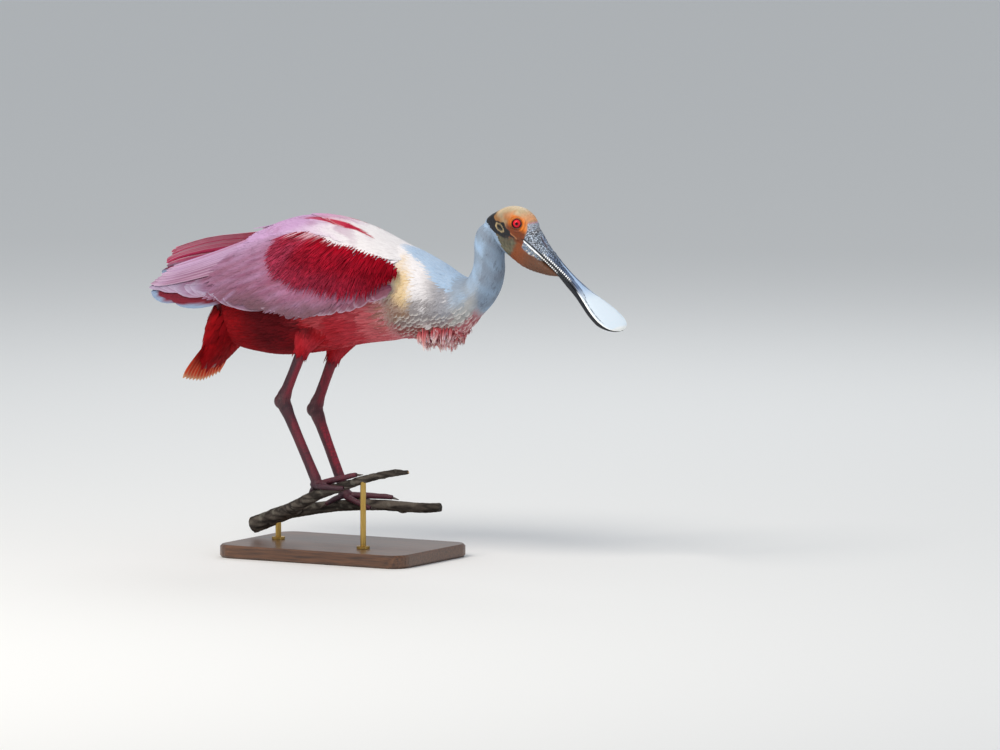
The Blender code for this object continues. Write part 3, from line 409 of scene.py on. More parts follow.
billRows = [  # x, height of the upper half, depth of the lower half, half width
    (-3, 20.6, 7.6, 14.2), (8, 15.2, 7.3, 12.8), (24, 10.2, 6.6, 10.8), (42, 7.2, 5.5, 8.8),
    (62, 5.4, 4.4, 7.9), (80, 4.6, 3.9, 9), (94, 4.2, 3.6, 12), (107, 3.9, 3.3, 16.8),
    (120, 3.6, 3, 21.8), (132, 3.3, 2.7, 25), (143, 3.0, 2.4, 25.2), (152, 2.6, 2, 21.6),
    (158, 2.2, 1.7, 14.6), (161, 1.8, 1.4, 7.5),
]
thighRows = [(0.0, 34, 15), (0.45, 26, 14), (0.8, 15, 11), (1.0, 9.2, 8.2)]  # share down, half depth, half width
tailRows = [(0.0, 26, 26, 34), (0.3, 22, 21, 34), (0.55, 14, 11, 31), (0.74, 7, 4, 26), (1.0, 2, 1.5, 12)]
hips = {-1: ((-106, -35, 250), (-133, -35, 189)), 1: ((-103, 35, 237), (-129, 35, 173))}
footJoints = {-1: (-86, -34, 93), 1: (-87, 34, 75)}
tailRoot, tailTip = np.array((-217.0, 0, 292)), np.array((-267.0, 0, 203))
rearRaise, rearReach = {-1: -5, 1: 13}, {-1: 0, 1: 20}
sideNames = {-1: "right", 1: "left"}
headTurn = np.array(Euler((math.radians(5), math.radians(40), 0)).to_matrix())
headOrigin = np.array((191.0, 0, 396))
eyePlace, lidPlace = np.array((-20.4, 14.6, 9.7)), np.array((-19.8, 17.9, 10.1))
earPlace = np.array((-33.5, 19.2, -8.2))


def inScene(points):
    return points * mm + modelShift


def inModel(points):
    return (points - modelShift) / mm


def headToScene(points):
    return inScene(points @ headTurn.T + headOrigin)


def sceneToHead(points):
    return (inModel(points) - headOrigin) @ headTurn


def ringPoint(centre, side, rise, half, reachUp, reachDown, angle):
    turn = np.radians(angle)
    reach = np.where(np.sin(turn) > 0, reachUp, reachDown) * np.sin(turn)
    return centre + side * (half * np.cos(turn))[..., None] + rise * reach[..., None]


def bodyPoint(at, angle):
    # at counts the cross-sections from the rump; the angle goes from the left side over the back
    x, z, tilt, up, down, half = smoothRows(bodyRows, at)
    turn = np.radians(tilt)
    beyond = 16 * (at - np.clip(at, 0, 17))
    centre = np.stack([x + beyond * np.cos(turn), 0 * x, z + beyond * np.sin(turn)], -1)
    rise = np.stack([-np.sin(turn), 0 * x, np.cos(turn)], -1)
    return inScene(ringPoint(centre, np.array((0, 1.0, 0)), rise, half, up, down, angle))


def wingPoint(side):
    def place(x, angle):
        ridge, widest, lowest, half = smoothRows(shellRows, x)
        turn = np.radians(np.minimum(angle, 100.0))  # past 90 the two wings cross on the ridge
        reach = np.where(turn > 0, ridge - widest, widest - lowest)
        z = widest + reach * np.sin(turn) + rearRaise[side] * smoothStep(150, 260, -x)
        back = rearReach[side] * smoothStep(150, 320, -x)
        return inScene(np.stack([x - back, side * half * np.cos(turn), z], -1))
    return place


def thighPoint(side):
    hip, heel = np.array(hips[side][0], float), np.array(hips[side][1], float)
    down = (heel - hip) / np.linalg.norm(heel - hip)
    fore = np.cross((0, 1.0, 0), down)

    def place(share, angle):
        depth, half = smoothRows(thighRows, share)
        centre = hip + down * (62 * (np.clip(share, -0.1, 1.4) - 1))[..., None]
        return inScene(ringPoint(centre, np.array((0, 1.0, 0)), fore, half, depth, depth, angle))
    return place


def headPoint(x, angle):
    # the bare surface of the head, in its own millimetres: x along the bill, the angle as on the body
    top, bottom, half = smoothRows(headRows, x)
    level = 0.62 * top + 0.38 * bottom
    centre = np.stack([x, 0 * x, level], -1)
    return ringPoint(centre, np.array((0, 1.0, 0)), np.array((0, 0, 1.0)), half, top - level, level - bottom, angle)


tailAlong = (tailTip - tailRoot) / np.linalg.norm(tailTip - tailRoot)
tailUnder = np.cross(tailAlong, (0, 1.0, 0))
tailLength = np.linalg.norm(tailTip - tailRoot)


def tailPoint(share, angle):
    belly, back, half = smoothRows(tailRows, share)
    centre = tailRoot + tailAlong * (tailLength * share)[..., None]
    return inScene(ringPoint(centre, np.array((0, 1.0, 0)), tailUnder, half, belly, back, angle))


def fanPoint(share, across):
    # the roof of the tail fan: share of the length, millimetres across
    centre = tailRoot + tailAlong * (tailLength * share)[..., None]
    level = 3.0 * (1 - np.abs(across) / 34) - 2.5
    return inScene(centre + np.array((0, 1.0, 0)) * across[..., None] + tailUnder * level[..., None])


class Surface:
    # a surface with two coordinates of its own, and which way it faces
    def __init__(self, point, facing, steps):
        self.point, self.facing, self.steps = point, facing, steps

    def frame(self, u, v):
        du, dv = self.steps
        byU = (self.point(u + du, v) - self.point(u - du, v)) / (2 * du)
        byV = (self.point(u, v + dv) - self.point(u, v - dv)) / (2 * dv)
        normal = np.cross(byU, byV) * self.facing
        normal /= np.maximum(np.linalg.norm(normal, axis=-1, keepdims=True), 1e-12)
        return self.point(u, v), normal, byU, byV

    def towards(self, u, v, lie, length):
        # the coordinates reached from (u, v) along a direction in space
        _, normal, byU, byV = self.frame(u, v)
        lie = lie - normal * np.sum(lie * normal, -1, keepdims=True)
        lie = lie / np.linalg.norm(lie, axis=-1, keepdims=True) * np.asarray(length)[..., None]
        uu, uv, vv = (byU * byU).sum(-1), (byU * byV).sum(-1), (byV * byV).sum(-1)
        a, b = (lie * byU).sum(-1), (lie * byV).sum(-1)
        scale = uu * vv - uv * uv
        return u + (a * vv - b * uv) / scale, v + (b * uu - a * uv) / scale

    def scatter(self, uRange, vRange, spacing):
        # evenly spread roots, one for each spacing[0] by spacing[1] of surface
        us, vs = np.linspace(*uRange, 120), np.linspace(*vRange, 160)
        grid = np.meshgrid(us, vs, indexing="ij")
        _, _, byU, byV = self.frame(*grid)
        area = np.linalg.norm(np.cross(byU, byV), axis=-1) * (us[1] - us[0]) * (vs[1] - vs[0])
        count = int(area.sum() / (spacing[0] * spacing[1]))
        steps = np.arange(count) + 1.0
        first, second = (steps * 0.7548776662) % 1, (steps * 0.5698402910) % 1
        byRow = np.cumsum(area.sum(1)) / area.sum()
        u = np.interp(first, byRow, us)
        row = np.clip(np.searchsorted(us, u), 0, len(us) - 1)
        along = np.cumsum(area, axis=1) / area.sum(1, keepdims=True)
        v = vs[np.clip((along[row] < second[:, None]).sum(1), 0, len(vs) - 1)]
        return u, v + draw.uniform(-0.5, 0.5, count) * (vs[1] - vs[0])


bodySurface = Surface(bodyPoint, -1, (0.02, 0.5))
wingSurfaces = {side: Surface(wingPoint(side), -side, (0.5, 0.5)) for side in (-1, 1)}
thighSurfaces = {side: Surface(thighPoint(side), 1, (0.01, 1.0)) for side in (-1, 1)}
tailSurface = Surface(tailPoint, -1, (0.01, 1.0))
fanSurface = Surface(fanPoint, -1, (0.01, 0.5))
headSurface = Surface(lambda x, angle: headToScene(headPoint(x, angle)), -1, (0.2, 0.5))


# What colour the plumage has at a place.
plumage = {name: linear(value) for name, value in {
    "white": "#F4F1F4", "paleShadeBlue": "#ABC8E6", "neckShadeBlue": "#8E9DB0", "neckMottleAndShade": "#66707E", "scallop": "#9C9EA8",
    "lilacGrey": "#8E888A", "rosyBrown": "#8A4C48", "cream": "#F1E6D2", "rose": "#B2343F", "roseLight": "#CC6A70",
    "belly": "#A4161F", "maroon": "#38040A", "undertail": "#860910", "tail": "#D83C1E", "tailTip": "#F2C49A",
    "buff": "#EAC98C", "buffShade": "#8C6A56", "pinkLine": "#B8505C", "carmine": "#8C0016", "carmineBright": "#BE0A28",
    "fringe": "#B84868", "palePink": "#EDD2E0", "lilac": "#B283A8", "vaneEdge": "#DCC2DA", "tipWhiteShaded": "#8EA2C0",
    "wingPink": "#95566F", "wingDuskShade": "#6E4A50", "wingSilverAndSheen": "#C8A2CC", "wingRose": "#B04864", "deepRose": "#F03A76",
    "seam": "#7E1A30", "satin": "#CCA4D0", "throat": "#BDBAB4", "pinkShade": "#883E60", "stripe": "#B8103A",
}.items()}
sectionNumbers = np.array([row[0] for row in bodyRows], float)
sectionXs = np.array([row[1] for row in bodyRows], float)
sectionZs = np.array([row[2] for row in bodyRows], float)


def placeOnBody(points):
    # the number of the cross-section, and the angle above the middle of the side, of a place near the body
    p = inModel(points)
    at = np.interp(p[..., 0], sectionXs, sectionNumbers)
    upNeck = np.interp(p[..., 2], sectionZs[10:], sectionNumbers[10:])
    at = np.where(p[..., 0] > 104, np.maximum(at, upNeck), at)
    _, z, _, up, down, half = smoothRows(bodyRows, at)
    rise = p[..., 2] - z
    angle = np.degrees(np.arctan2(rise / np.where(rise > 0, up, down), np.abs(p[..., 1]) / half))
    return p, at, angle


def withBuff(colour, p):
    # the cream strip in front of the wing, browner where it runs out below: painted shade
    x, z = p[..., 0], p[..., 2] + 3 * ripple(p, 10, 3)
    shade = inOutline([(22, 338), (48, 330), (56, 314), (54, 298), (24, 292)], x, z, 7)
    strip = inOutline([(29, 357), (38, 362), (48, 356), (54, 344), (55, 326), (48, 312), (34, 316), (26, 345)], x, z, 7)
    colour = mixed(colour, plumage["buff"], 0.9 * strip)
    return mixed(colour, plumage["buffShade"], 0.85 * shade * smoothStep(336, 312, z + 0.5 * x - 20))


def bodyTint(points):
    p, at, angle = placeOnBody(points)
    c = plumage
    wavy = angle + 5 * ripple(p, 14, 1)
    under = mixed(c["roseLight"], c["rose"], smoothStep(6.9, 5.6, at + 0.3 * ripple(p, 16, 6)))
    under = mixed(under, c["belly"], smoothStep(5.6, 4.2, at + 0.3 * ripple(p, 12, 7)))
    colour = mixed(under, c["white"], smoothStep(-10, 8, wavy))
    streak = smoothStep(0.2, 0.9, ripple(p * (0.3, 1, 1), 9, 2))
    colour = mixed(colour, c["roseLight"], 0.4 * streak * (wavy < -12) * smoothStep(3.6, 5.2, at))
    colour = mixed(colour, c["palePink"], 0.6 * smoothStep(6.2, 4.0, at) * smoothStep(0, 20, wavy))
    # painted shadow under the folded wing at the rear, over the darker maroon of the rear belly
    dark = smoothStep(4.6, 3.4, at + 0.3 * ripple(p, 20, 3)) * (0.6 + 0.4 * smoothStep(-75, -45, wavy))
    colour = mixed(colour, c["maroon"], 0.9 * dark * smoothStep(10, -8, wavy))
    colour = mixed(colour, c["roseLight"], 0.4 * gauss(at - 4.4 + 0.2 * ripple(p, 12, 5), 0.4) * smoothStep(-40, -12, wavy))
    colour = mixed(colour, c["undertail"], smoothStep(3.0, 1.8, at) * smoothStep(25, 5, wavy))
    colour = mixed(colour, c["deepRose"], smoothStep(2.4, 1.2, at) * smoothStep(5, 25, wavy))
    front = smoothStep(6.4, 7.3, at + 0.1 * ripple(p, 12, 4))
    breast = mixed(c["pinkLine"], c["rosyBrown"], smoothStep(-66, -48, wavy))
    breast = mixed(breast, c["lilacGrey"], smoothStep(-40, -16, wavy))
    breast = mixed(breast, c["white"], smoothStep(2, 24, wavy) * smoothStep(9.2, 7.8, at))
    breast = mixed(breast, c["scallop"], 0.8 * smoothStep(8.2, 9.2, at) * smoothStep(-36, -10, wavy))
    glints = smoothStep(0.5, 1.1, ripple(p, 3.0, 5)) * smoothStep(7.6, 8.4, at) * smoothStep(30, 8, wavy)
    breast = mixed(breast, c["white"], 0.7 * glints * smoothStep(-42, -26, wavy))
    colour = mixed(colour, breast, front)
    # painted shadow: the white feathers of the back in pale blue, above this edge, where the head and neck shade them
    shadowBlueEdge = np.interp(at, [6.6, 7.6, 8.3, 8.8, 9.7], [84, 67, 50, 34, 26])
    colour = mixed(colour, c["paleShadeBlue"], front * smoothStep(-3, 3, angle - shadowBlueEdge + 2 * ripple(p, 20, 5)) * 0.95)
    # painted shade and light: the white neck in shade blues, lighter towards its upper side
    neck = mixed(c["neckShadeBlue"], c["paleShadeBlue"], 0.35 + 0.35 * ripple(p, 11, 6) + 0.4 * smoothStep(-20, 50, angle))
    specks = smoothStep(0.55, 1.0, ripple(p, 2.6, 7)) * smoothStep(120, 138, p[..., 0])
    # grey specks, and painted shade darkening the underside of the neck
    neck = mixed(neck, c["neckMottleAndShade"], 0.4 * specks + 0.35 * smoothStep(0, -60, angle))
    neck = mixed(neck, c["throat"], 0.8 * smoothStep(13.2, 10.6, at) * smoothStep(15, -35, angle + 6 * ripple(p, 9, 3)))
    colour = mixed(colour, neck, smoothStep(9.2, 10.2, at + 0.15 * ripple(p, 9, 2)))
    throat = smoothStep(8.8, 9.4, at) * smoothStep(12.6, 10.4, at) * smoothStep(-52, -66, angle)
    colour = mixed(colour, c["pinkLine"], 0.85 * throat)
    return withBuff(colour, p)


patchOutline = [  # the carmine patch, x and angle on the folded wing
    (-136, 42.7), (-118, 51), (-89, 54), (-74, 50), (-51, 45), (-30, 47), (-6, 47), (11, 48), (27, 44.5),
    (36, 34), (36, 18), (19, 3), (5, -5), (-13, -6), (-32, -7), (-56, -4), (-74, -2), (-93, 0), (-113, 4.5),
    (-130, 9.5), (-139, 24),
]
lowerEdge = [(-330, -8), (-143, -25), (-92, -29), (-54, -27), (-26, -24), (9, -13), (26, -7), (40, 2)]
satinEdge = [(-175, 53), (-83, 52), (-64, 52), (-54, 46), (-30, 44), (27, 45), (35, 38), (38, -25)]
crimsonStripe = [  # x and angle
    (-112, 78), (-98, 86), (-82, 88), (-66, 87), (-50, 82.5), (-36, 79.5), (-12, 73), (-36, 73), (-50, 71), (-66, 71.5),
    (-88, 75),
]
# where the painted shadow of the crease under the tertials begins on the primaries: x and angle
primaryCreaseShade = [(-319, 13.6), (-308, -5.7), (-292, -13.4), (-275, -17.3), (-252, -16.7), (-221, -17.9), (-190, -19)]


def wingEdge(x):
    return np.interp(x, *np.array(lowerEdge, float).T)


def placeOnWing(points, side):
    # x and angle of a place on or near the folded wing
    p = inModel(points)
    x = p[..., 0] + rearReach[side] * smoothStep(150, 320, -p[..., 0])
    ridge, widest, lowest, _ = smoothRows(shellRows, x)
    z = p[..., 2] - rearRaise[side] * smoothStep(150, 260, -x)
    rise = np.where(z > widest, (z - widest) / (ridge - widest), (z - widest) / (widest - lowest))
    return p, x, np.degrees(np.arcsin(np.clip(rise, -1, 1)))


def wingTint(points, side):
    # pink of the folded wing: silvery above, partly a painted sheen; painted shade, dusky, along its lower edge and
    # over the lower rear; rosy round the patch
    p, x, angle = placeOnWing(points, side)
    c = plumage
    along, over = p[..., 0] * 0.92 + p[..., 2] * 0.38, p[..., 2] * 0.92 - p[..., 0] * 0.38
    flow = np.stack([0.12 * along, 0.3 * p[..., 1], over], -1)  # streaks run down to the rear
    colour = mixed(c["wingPink"], c["lilac"], 0.5 + 0.6 * ripple(flow, 9, 1))
    colour = mixed(colour, c["pinkShade"], 0.55 * smoothStep(0.1, 0.8, ripple(flow, 4, 6)) * smoothStep(-60, -120, x))
    # silvery upper part: the feathers' own pale pink, partly a painted sheen
    colour = mixed(colour, c["wingSilverAndSheen"], 0.85 * smoothStep(26, 50, angle + 5 * ripple(p, 18, 2)))
    colour = mixed(colour, c["wingSilverAndSheen"], 0.4 * smoothStep(-170, -300, x))
    # painted shade: dusky along the lower edge of the wing
    low = smoothStep(26, 4, angle - wingEdge(x) + 3 * ripple(p, 14, 4)) * smoothStep(-240, -150, x)
    colour = mixed(colour, c["wingDuskShade"], 0.85 * low)
    colour = mixed(colour, c["wingRose"], 0.5 * gauss(angle - 66 + 2 * ripple(flow, 20, 5), 3) * smoothStep(-165, -200, x))
    # silvery streaks at the rear, partly a painted sheen
    colour = mixed(colour, c["wingSilverAndSheen"], 0.5 * smoothStep(0.3, 1.0, ripple(flow, 5, 2)) * smoothStep(-90, -200, x))
    colour = mixed(colour, c["white"], 0.9 * smoothStep(36, 44, angle) * smoothStep(-95, -60, x))
    rosy = inOutline(patchOutline, x, angle, 16) * smoothStep(46, 32, angle)
    # painted shade: the lower rear of the wing a fifth darker
    rear = 1 - 0.2 * smoothStep(-110, -190, x) * smoothStep(60, 40, angle)
    return mixed(colour, c["wingRose"], 0.75 * rosy) * rear[..., None]


def satinTint(points, side):
    # the smooth feathers over the shoulder: white in front, lilac pink behind, with one crimson stripe on top
    p, x, angle = placeOnWing(points, side)
    c = plumage
    flow = p * (0.25, 1, 1)
    colour = mixed(c["satin"], c["white"], smoothStep(-130, -25, x + 14 * ripple(flow, 12, 3)))
    colour = mixed(colour, c["lilac"], 0.5 * smoothStep(0.2, 0.9, ripple(flow, 6, 6)) * smoothStep(0, -60, x))
    blush = inOutline(crimsonStripe, x, angle - 4, 10) * smoothStep(-25, -60, x)
    colour = mixed(colour, c["fringe"], 0.5 * blush)
    stripe = smoothStep(0.2, 0.7, inOutline(crimsonStripe, x, angle + 0.5 * ripple(flow, 5, 2), 1.5))
    colour = mixed(colour, mixed(c["fringe"], c["stripe"], smoothStep(-100, -74, x)), stripe)
    return withBuff(colour, p)


# The skin: one closed surface of trunk, neck, head and legs, as far under the feathers as they stand off.
skin = {
    "bodyDepth": 2.4, "thighDepth": 2.0, "tailDepth": 2.5, "padDepths": (5.0, 14.0), "voxel": 0.0028,
    "headColumns": 200, "headRows": 190, "legSwell": 0.0004, "legVoxel": 0.00095,
}
face = {name: linear(value) for name, value in {
    "crown": "#CAB694", "peach": "#E0A070", "orange": "#E87C18", "cheek": "#78350A", "black": "#0E1118",
    "jaw": "#66624E", "downGrey": "#94907C", "pouch": "#8A461A", "brown": "#5A4030", "pinkLine": "#D9909A", "earRim": "#B8A278",
    "orbit": "#1C0A18", "tan": "#94683C", "maroon": "#40101F", "crimson": "#921430", "foot": "#3A2230", "heel": "#543238",
}.items()}


def insetTube(name, surface, uRange, columns, rows, depth):
    def place(share, angle):
        spots, out, _, _ = surface.frame(uRange[0] + (uRange[1] - uRange[0]) * share, angle)
        return spots - out * depth * mm
    return rolledGrid(name, columns, rows, place)


def wingPad(side):
    outer, inner = skin["padDepths"]

    def place(share, angle):
        turn = np.radians(angle)
        depth = (outer + inner) / 2 - (inner - outer) / 2 * np.sin(turn)
        spots, out, _, _ = wingSurfaces[side].frame(38 - 240 * share, 30 - 52 * np.cos(turn))
        return spots - out * depth[..., None] * mm
    return rolledGrid("wing pad", 72, 90, place)


def roundEye(p):
    # distance from the nearer eye's axis, a little oval, and along it
    away = p * np.where(p[..., 1:2] < 0, (1, -1, 1), (1, 1, 1)) - lidPlace
    forward, outward = away[..., 0], away[..., 1]
    along = 0.208 * forward + 0.978 * outward
    sideways = 0.978 * forward - 0.208 * outward
    return np.hypot(sideways / 1.06, away[..., 2] / 0.96), along


def overEar(p, long, short):
    return np.hypot((p[..., 0] - earPlace[0]) / long, (p[..., 2] - earPlace[2]) / short)


def fromLine(p, x0, z0, x1, z1):
    # distance in the side view from a stretch of line
    dx, dz = x1 - x0, z1 - z0
    t = np.clip(((p[..., 0] - x0) * dx + (p[..., 2] - z0) * dz) / (dx * dx + dz * dz), 0, 1)
    return np.hypot(p[..., 0] - x0 - t * dx, p[..., 2] - z0 - t * dz)


def headRelief(p):
    # how far the skin of the face stands out, in millimetres
    r, along = roundEye(p)
    near = smoothStep(10, 5, np.abs(along))
    lids = 1.5 * gauss(r - 5.5, 0.75) - 0.55 * gauss(r - 7.6, 0.7) + 0.5 * gauss(r - 9.2, 0.8) - 0.25 * gauss(r - 10.9, 0.6)
    lift = near * (lids - 6.0 * smoothStep(4.9, 4.0, r))
    lateral = smoothStep(6, 12, np.abs(p[..., 1]))
    lift = lift + lateral * (0.6 * gauss(overEar(p, 6.1, 3.8) - 1, 0.2) - 2.6 * gauss(overEar(p, 3.4, 1.0), 0.9))
    lift = lift + lateral * (0.4 * gauss(fromLine(p, -19, -3.2, -8, -5.2), 0.9) - 0.7 * gauss(fromLine(p, -9, -7, 3, -4), 0.8))
    lift = lift - lateral * 0.5 * gauss(fromLine(p, -14, -11, -6, -7), 0.7)
    low = smoothStep(-14, -22, p[..., 2]) * smoothStep(-34, -10, p[..., 0])
    folds = np.sin(p[..., 2] * 1.9 + p[..., 0] * 0.55 + 1.6 * ripple(p, 18, 3))
    lift = lift + 0.28 * low * folds
    lift = lift + 0.45 * gauss(p[..., 0] + 6.5 + 0.45 * p[..., 2], 1.2) * smoothStep(4, 9, p[..., 2])
    crease = np.sin(p[..., 0] * 1.3 + 0.9 * p[..., 2] + 2.2 * ripple(p, 14, 5))
    lift = lift + 0.10 * crease * smoothStep(0.3, 0.8, near * 0 + ripple(p, 12, 4))
    return lift + 0.10 * ripple(p, 2.2, 6) * (r > 5)


def makeHead():
    head = rolledGrid(
        "head skin", skin["headColumns"], skin["headRows"], lambda share, angle: headPoint(-58 + 115 * share, angle))
    local, out = pointsOf(head), normalsOf(head)
    moved = local + out * headRelief(local)[:, None]
    setPoints(head, headToScene(moved))
    return head


blackMask = [
    (-58, -15), (-56, -8), (-51.3, -3.6), (-47, -5.8), (-42.6, -5.6), (-38.8, -2.3), (-33.8, 0.6), (-28.5, -0.6),
    (-21.2, -3.4), (-11.2, -5.4), (-12, -7.6), (-18.6, -8.3), (-18.9, -12.1), (-22.3, -15.6), (-32.4, -18.0),
    (-43.7, -25), (-52, -30), (-60, -28),
]
eyeSkin = [
    (-40, 7), (-33.5, 15.8), (-18, 19.5), (-11.5, 18), (-4.5, 9), (1.4, -2.8), (-9.6, -5.6), (-24.4, -1.4), (-33.1, 4.0),
]
hornCorner = [(-10.6, 17.6), (-8, 21.5), (6, 30), (16, 12), (4, 0), (-1.0, 1.0), (-1.6, 4.0), (-4.4, 8.4), (-6.0, 12.2)]


def headTint(p):
    x, z = p[..., 0] + 0.9 * ripple(p, 6, 1), p[..., 2] + 0.9 * ripple(p, 5, 2)
    f = face
    fine = 0.5 + 0.5 * ripple(p, 3.2, 4)
    colour = mixed(f["crown"], f["peach"], smoothStep(-26, -6, x + 0.4 * z - 4))
    down = smoothStep(-0.2, 0.6, ripple(p, 5, 6)) * smoothStep(10, 0, z - 0.5 * (x + 45))
    colour = mixed(colour, f["downGrey"], 0.7 * down)
    colour = mixed(colour, f["tan"], smoothStep(5, -3, z) * smoothStep(-24, -36, x))
    colour = mixed(colour, f["cheek"], smoothStep(6, 1, z) * smoothStep(-34, -24, x))
    colour = mixed(colour, f["tan"], 0.7 * gauss(np.hypot(x + 37, z - 6), 7))
    orange = mixed(f["orange"], f["cheek"], smoothStep(8.5, 3.5, z - 0.15 * (x + 20) + 1.2 * ripple(p, 7, 3)))
    orange = mixed(orange, f["tan"], 0.75 * smoothStep(20, 8, z) * smoothStep(-25, -33, x))
    orange = mixed(orange, f["peach"], 0.6 * smoothStep(18, 23, z))
    dabs = smoothStep(0.1, 0.8, ripple(p * (0.6, 1, 1), 3.2, 5)) * smoothStep(9, 0, z)
    orange = mixed(orange, f["brown"], 0.4 * dabs)
    colour = mixed(colour, orange, inOutline(eyeSkin, x, z, 3.5))
    jaw = inOutline([(-34, -13), (-22, -10), (-13, -8), (-4, -9), (-5, -18), (-5, -50), (-34, -50)], x, z, 2.6)
    jawTone = mixed(f["jaw"], mixed(f["jaw"], f["orbit"], 0.6), smoothStep(-22, -12, z) * smoothStep(-8, -22, x))
    jawTone = mixed(jawTone, f["tan"], 0.4 * smoothStep(0.2, 0.9, ripple(p, 4, 2)))
    colour = mixed(colour, jawTone * (0.7 + 0.5 * fine)[..., None], jaw)
    pouch = inOutline([(-7, -17), (-6, -8), (6, -6), (60, -2), (60, -40), (-7, -50)], x, z, 2.2)
    streaks = 0.5 + 0.5 * np.sin(z * 1.5 + 0.5 * x + 2 * ripple(p, 10, 5))
    tone = mixed(f["pouch"], f["cheek"], 0.3 * streaks)
    tone = mixed(tone, f["brown"], smoothStep(-4, 26, x) * (0.85 - 0.12 * streaks) * smoothStep(-36, -26, z + 0.35 * x))
    colour = mixed(colour, tone, pouch)
    mottled = inOutline([(-1, -4), (3, 2), (36, 2), (34, -5), (24, -8), (12, -10), (0, -9)], x, z, 1.2)
    seams = smoothStep(0.05, 0.35, np.abs(ripple(p, 1.7, 7)))
    network = mixed(f["black"], mixed(linear("#7F90A8"), linear("#E2E4DF"), smoothStep(-0.3, 0.6, ripple(p, 2, 2))), seams)
    colour = mixed(colour, network, mottled)
    colour = mixed(colour, f["black"], smoothStep(0.45, 0.6, inOutline(blackMask, x, z, 2.2)))
    colour = mixed(colour, f["black"], smoothStep(-48.5, -50.5, x) * smoothStep(1.5, -1.5, z))
    ear = overEar(p, 6.1, 3.8)
    ring = smoothStep(1.24, 1.1, ear + 0.1 * ripple(p, 3, 3)) * smoothStep(0.72, 0.9, ear)
    colour = mixed(colour, f["earRim"] * (0.7 + 0.5 * fine)[..., None], 0.9 * ring)
    colour = mixed(colour, mixed(f["black"], f["jaw"], 0.15 + 0.5 * fine), smoothStep(0.9, 0.7, ear))
    colour = mixed(colour, f["black"] * 0.5, smoothStep(1.3, 0.9, overEar(p, 4.0, 1.4)))
    colour = mixed(colour, f["peach"], 0.5 * smoothStep(0.9, 0.3, fromLine(p, -18.3, -3.5, -9, -4.9)))
    colour = mixed(colour, f["black"], smoothStep(1.0, 0.4, fromLine(p, -4, -1.2, 2, 1.5)) * 0.8)
    r, along = roundEye(p)
    upFront = smoothStep(-1, 5, (p[..., 0] + 20) * 0.3 + (p[..., 2] - 10))
    colour = mixed(colour, f["cheek"], 0.7 * smoothStep(7.6, 6.2, r) * (np.abs(along) < 10))
    colour = mixed(colour, f["orbit"], smoothStep(5.7, 5.0, r - 1.1 * upFront) * (np.abs(along) < 10))
    corner = inOutline(hornCorner, p[..., 0], p[..., 2], 0.5)
    colour = mixed(colour, mixed(f["black"], linear("#B4BAC8"), seams), corner)
    colour = mixed(colour, f["pinkLine"], 0.7 * gauss(fromLine(p, -10.6, 18.2, -3.5, 24.5), 0.7))
    speck = smoothStep(0.75, 1.15, ripple(p, 2.0, 7)) * smoothStep(-0.2, 0.6, ripple(p, 20, 2))
    return mixed(colour, f["brown"], 0.3 * speck) * (0.93 + 0.14 * fine)[..., None]


def legTint(p):
    # p in model millimetres
    f = face
    streak = smoothStep(-0.1, 0.8, ripple(p * (1, 1, 0.12), 6, 1))
    left = p[..., 1] > 0
    colour = mixed(f["maroon"], f["foot"], 0.4)
    # crimson streaks over the dark maroon, partly painted light, stronger on the left leg
    colour = mixed(colour, f["crimson"], (0.2 + 0.6 * left) * streak + 0.15 * left)
    for side in (-1, 1):
        hip, heel = (np.array(spot, float) for spot in hips[side])
        along = ((p - hip) @ (heel - hip)) / ((heel - hip) @ (heel - hip))
        front = p[..., 0] - hip[0] - along * (heel[0] - hip[0])
        # painted highlight down the front of each shank
        lit = smoothStep(0, 5, front) * smoothStep(0.66, 0.4, np.abs(along - 0.4)) * (p[..., 1] * side > 0)
        colour = mixed(colour, f["crimson"], 0.8 * lit)
        down = smoothStep(heel[2] - 6, heel[2] - 30, p[..., 2]) * (p[..., 1] * side > 0)
        foot = footJoints[side]
        shin = p[..., 0] - heel[0] - (heel[2] - p[..., 2]) * (foot[0] - heel[0]) / (heel[2] - foot[2])
        # painted highlight down the front of each tarsus, strong on the left leg
        lit = down * smoothStep(-0.5, 3.0, shin) * (0.5 + 0.5 * smoothStep(-0.2, 0.5, ripple(p, 2.4, 3)))
        colour = mixed(colour, f["crimson"] * 1.2, (0.95 if side > 0 else 0.3) * lit)
        near = gauss(np.linalg.norm(p - heel, axis=-1), 14)
        rough = smoothStep(-0.3, 0.5, ripple(p, 2.2, 5))
        colour = mixed(colour, mixed(f["heel"], f["foot"] * 0.5, rough), 0.92 * near)
    low = smoothStep(112, 84, p[..., 2])
    return mixed(colour, f["foot"], 0.85 * low)


def skinTint(points):
    p = inModel(points)
    local = sceneToHead(points)
    colour = bodyTint(points)
    leg = np.zeros(len(points), bool)
    for side in (-1, 1):
        hip, heel = (np.array(spot, float) for spot in hips[side])
        down = (heel - hip) / np.linalg.norm(heel - hip)
        share = ((p - hip) @ down) / 62
        near = np.linalg.norm(p - hip - ((p - hip) @ down)[:, None] * down, axis=-1) < 13
        leg |= (share > -0.03) & (p[:, 1] * side > 0) & (near | (p[:, 2] < 190))
    colour = np.where(leg[:, None], legTint(p), colour)
    top, bottom, half = smoothRows(headRows, local[:, 0])
    onHead = (local[:, 0] > -59) & (local[:, 0] < 60) & (local[:, 2] > bottom - 3) & (local[:, 2] < top + 3)
    onHead &= np.abs(local[:, 1]) < half + 3
    return np.where(onHead[:, None], headTint(local), colour), leg


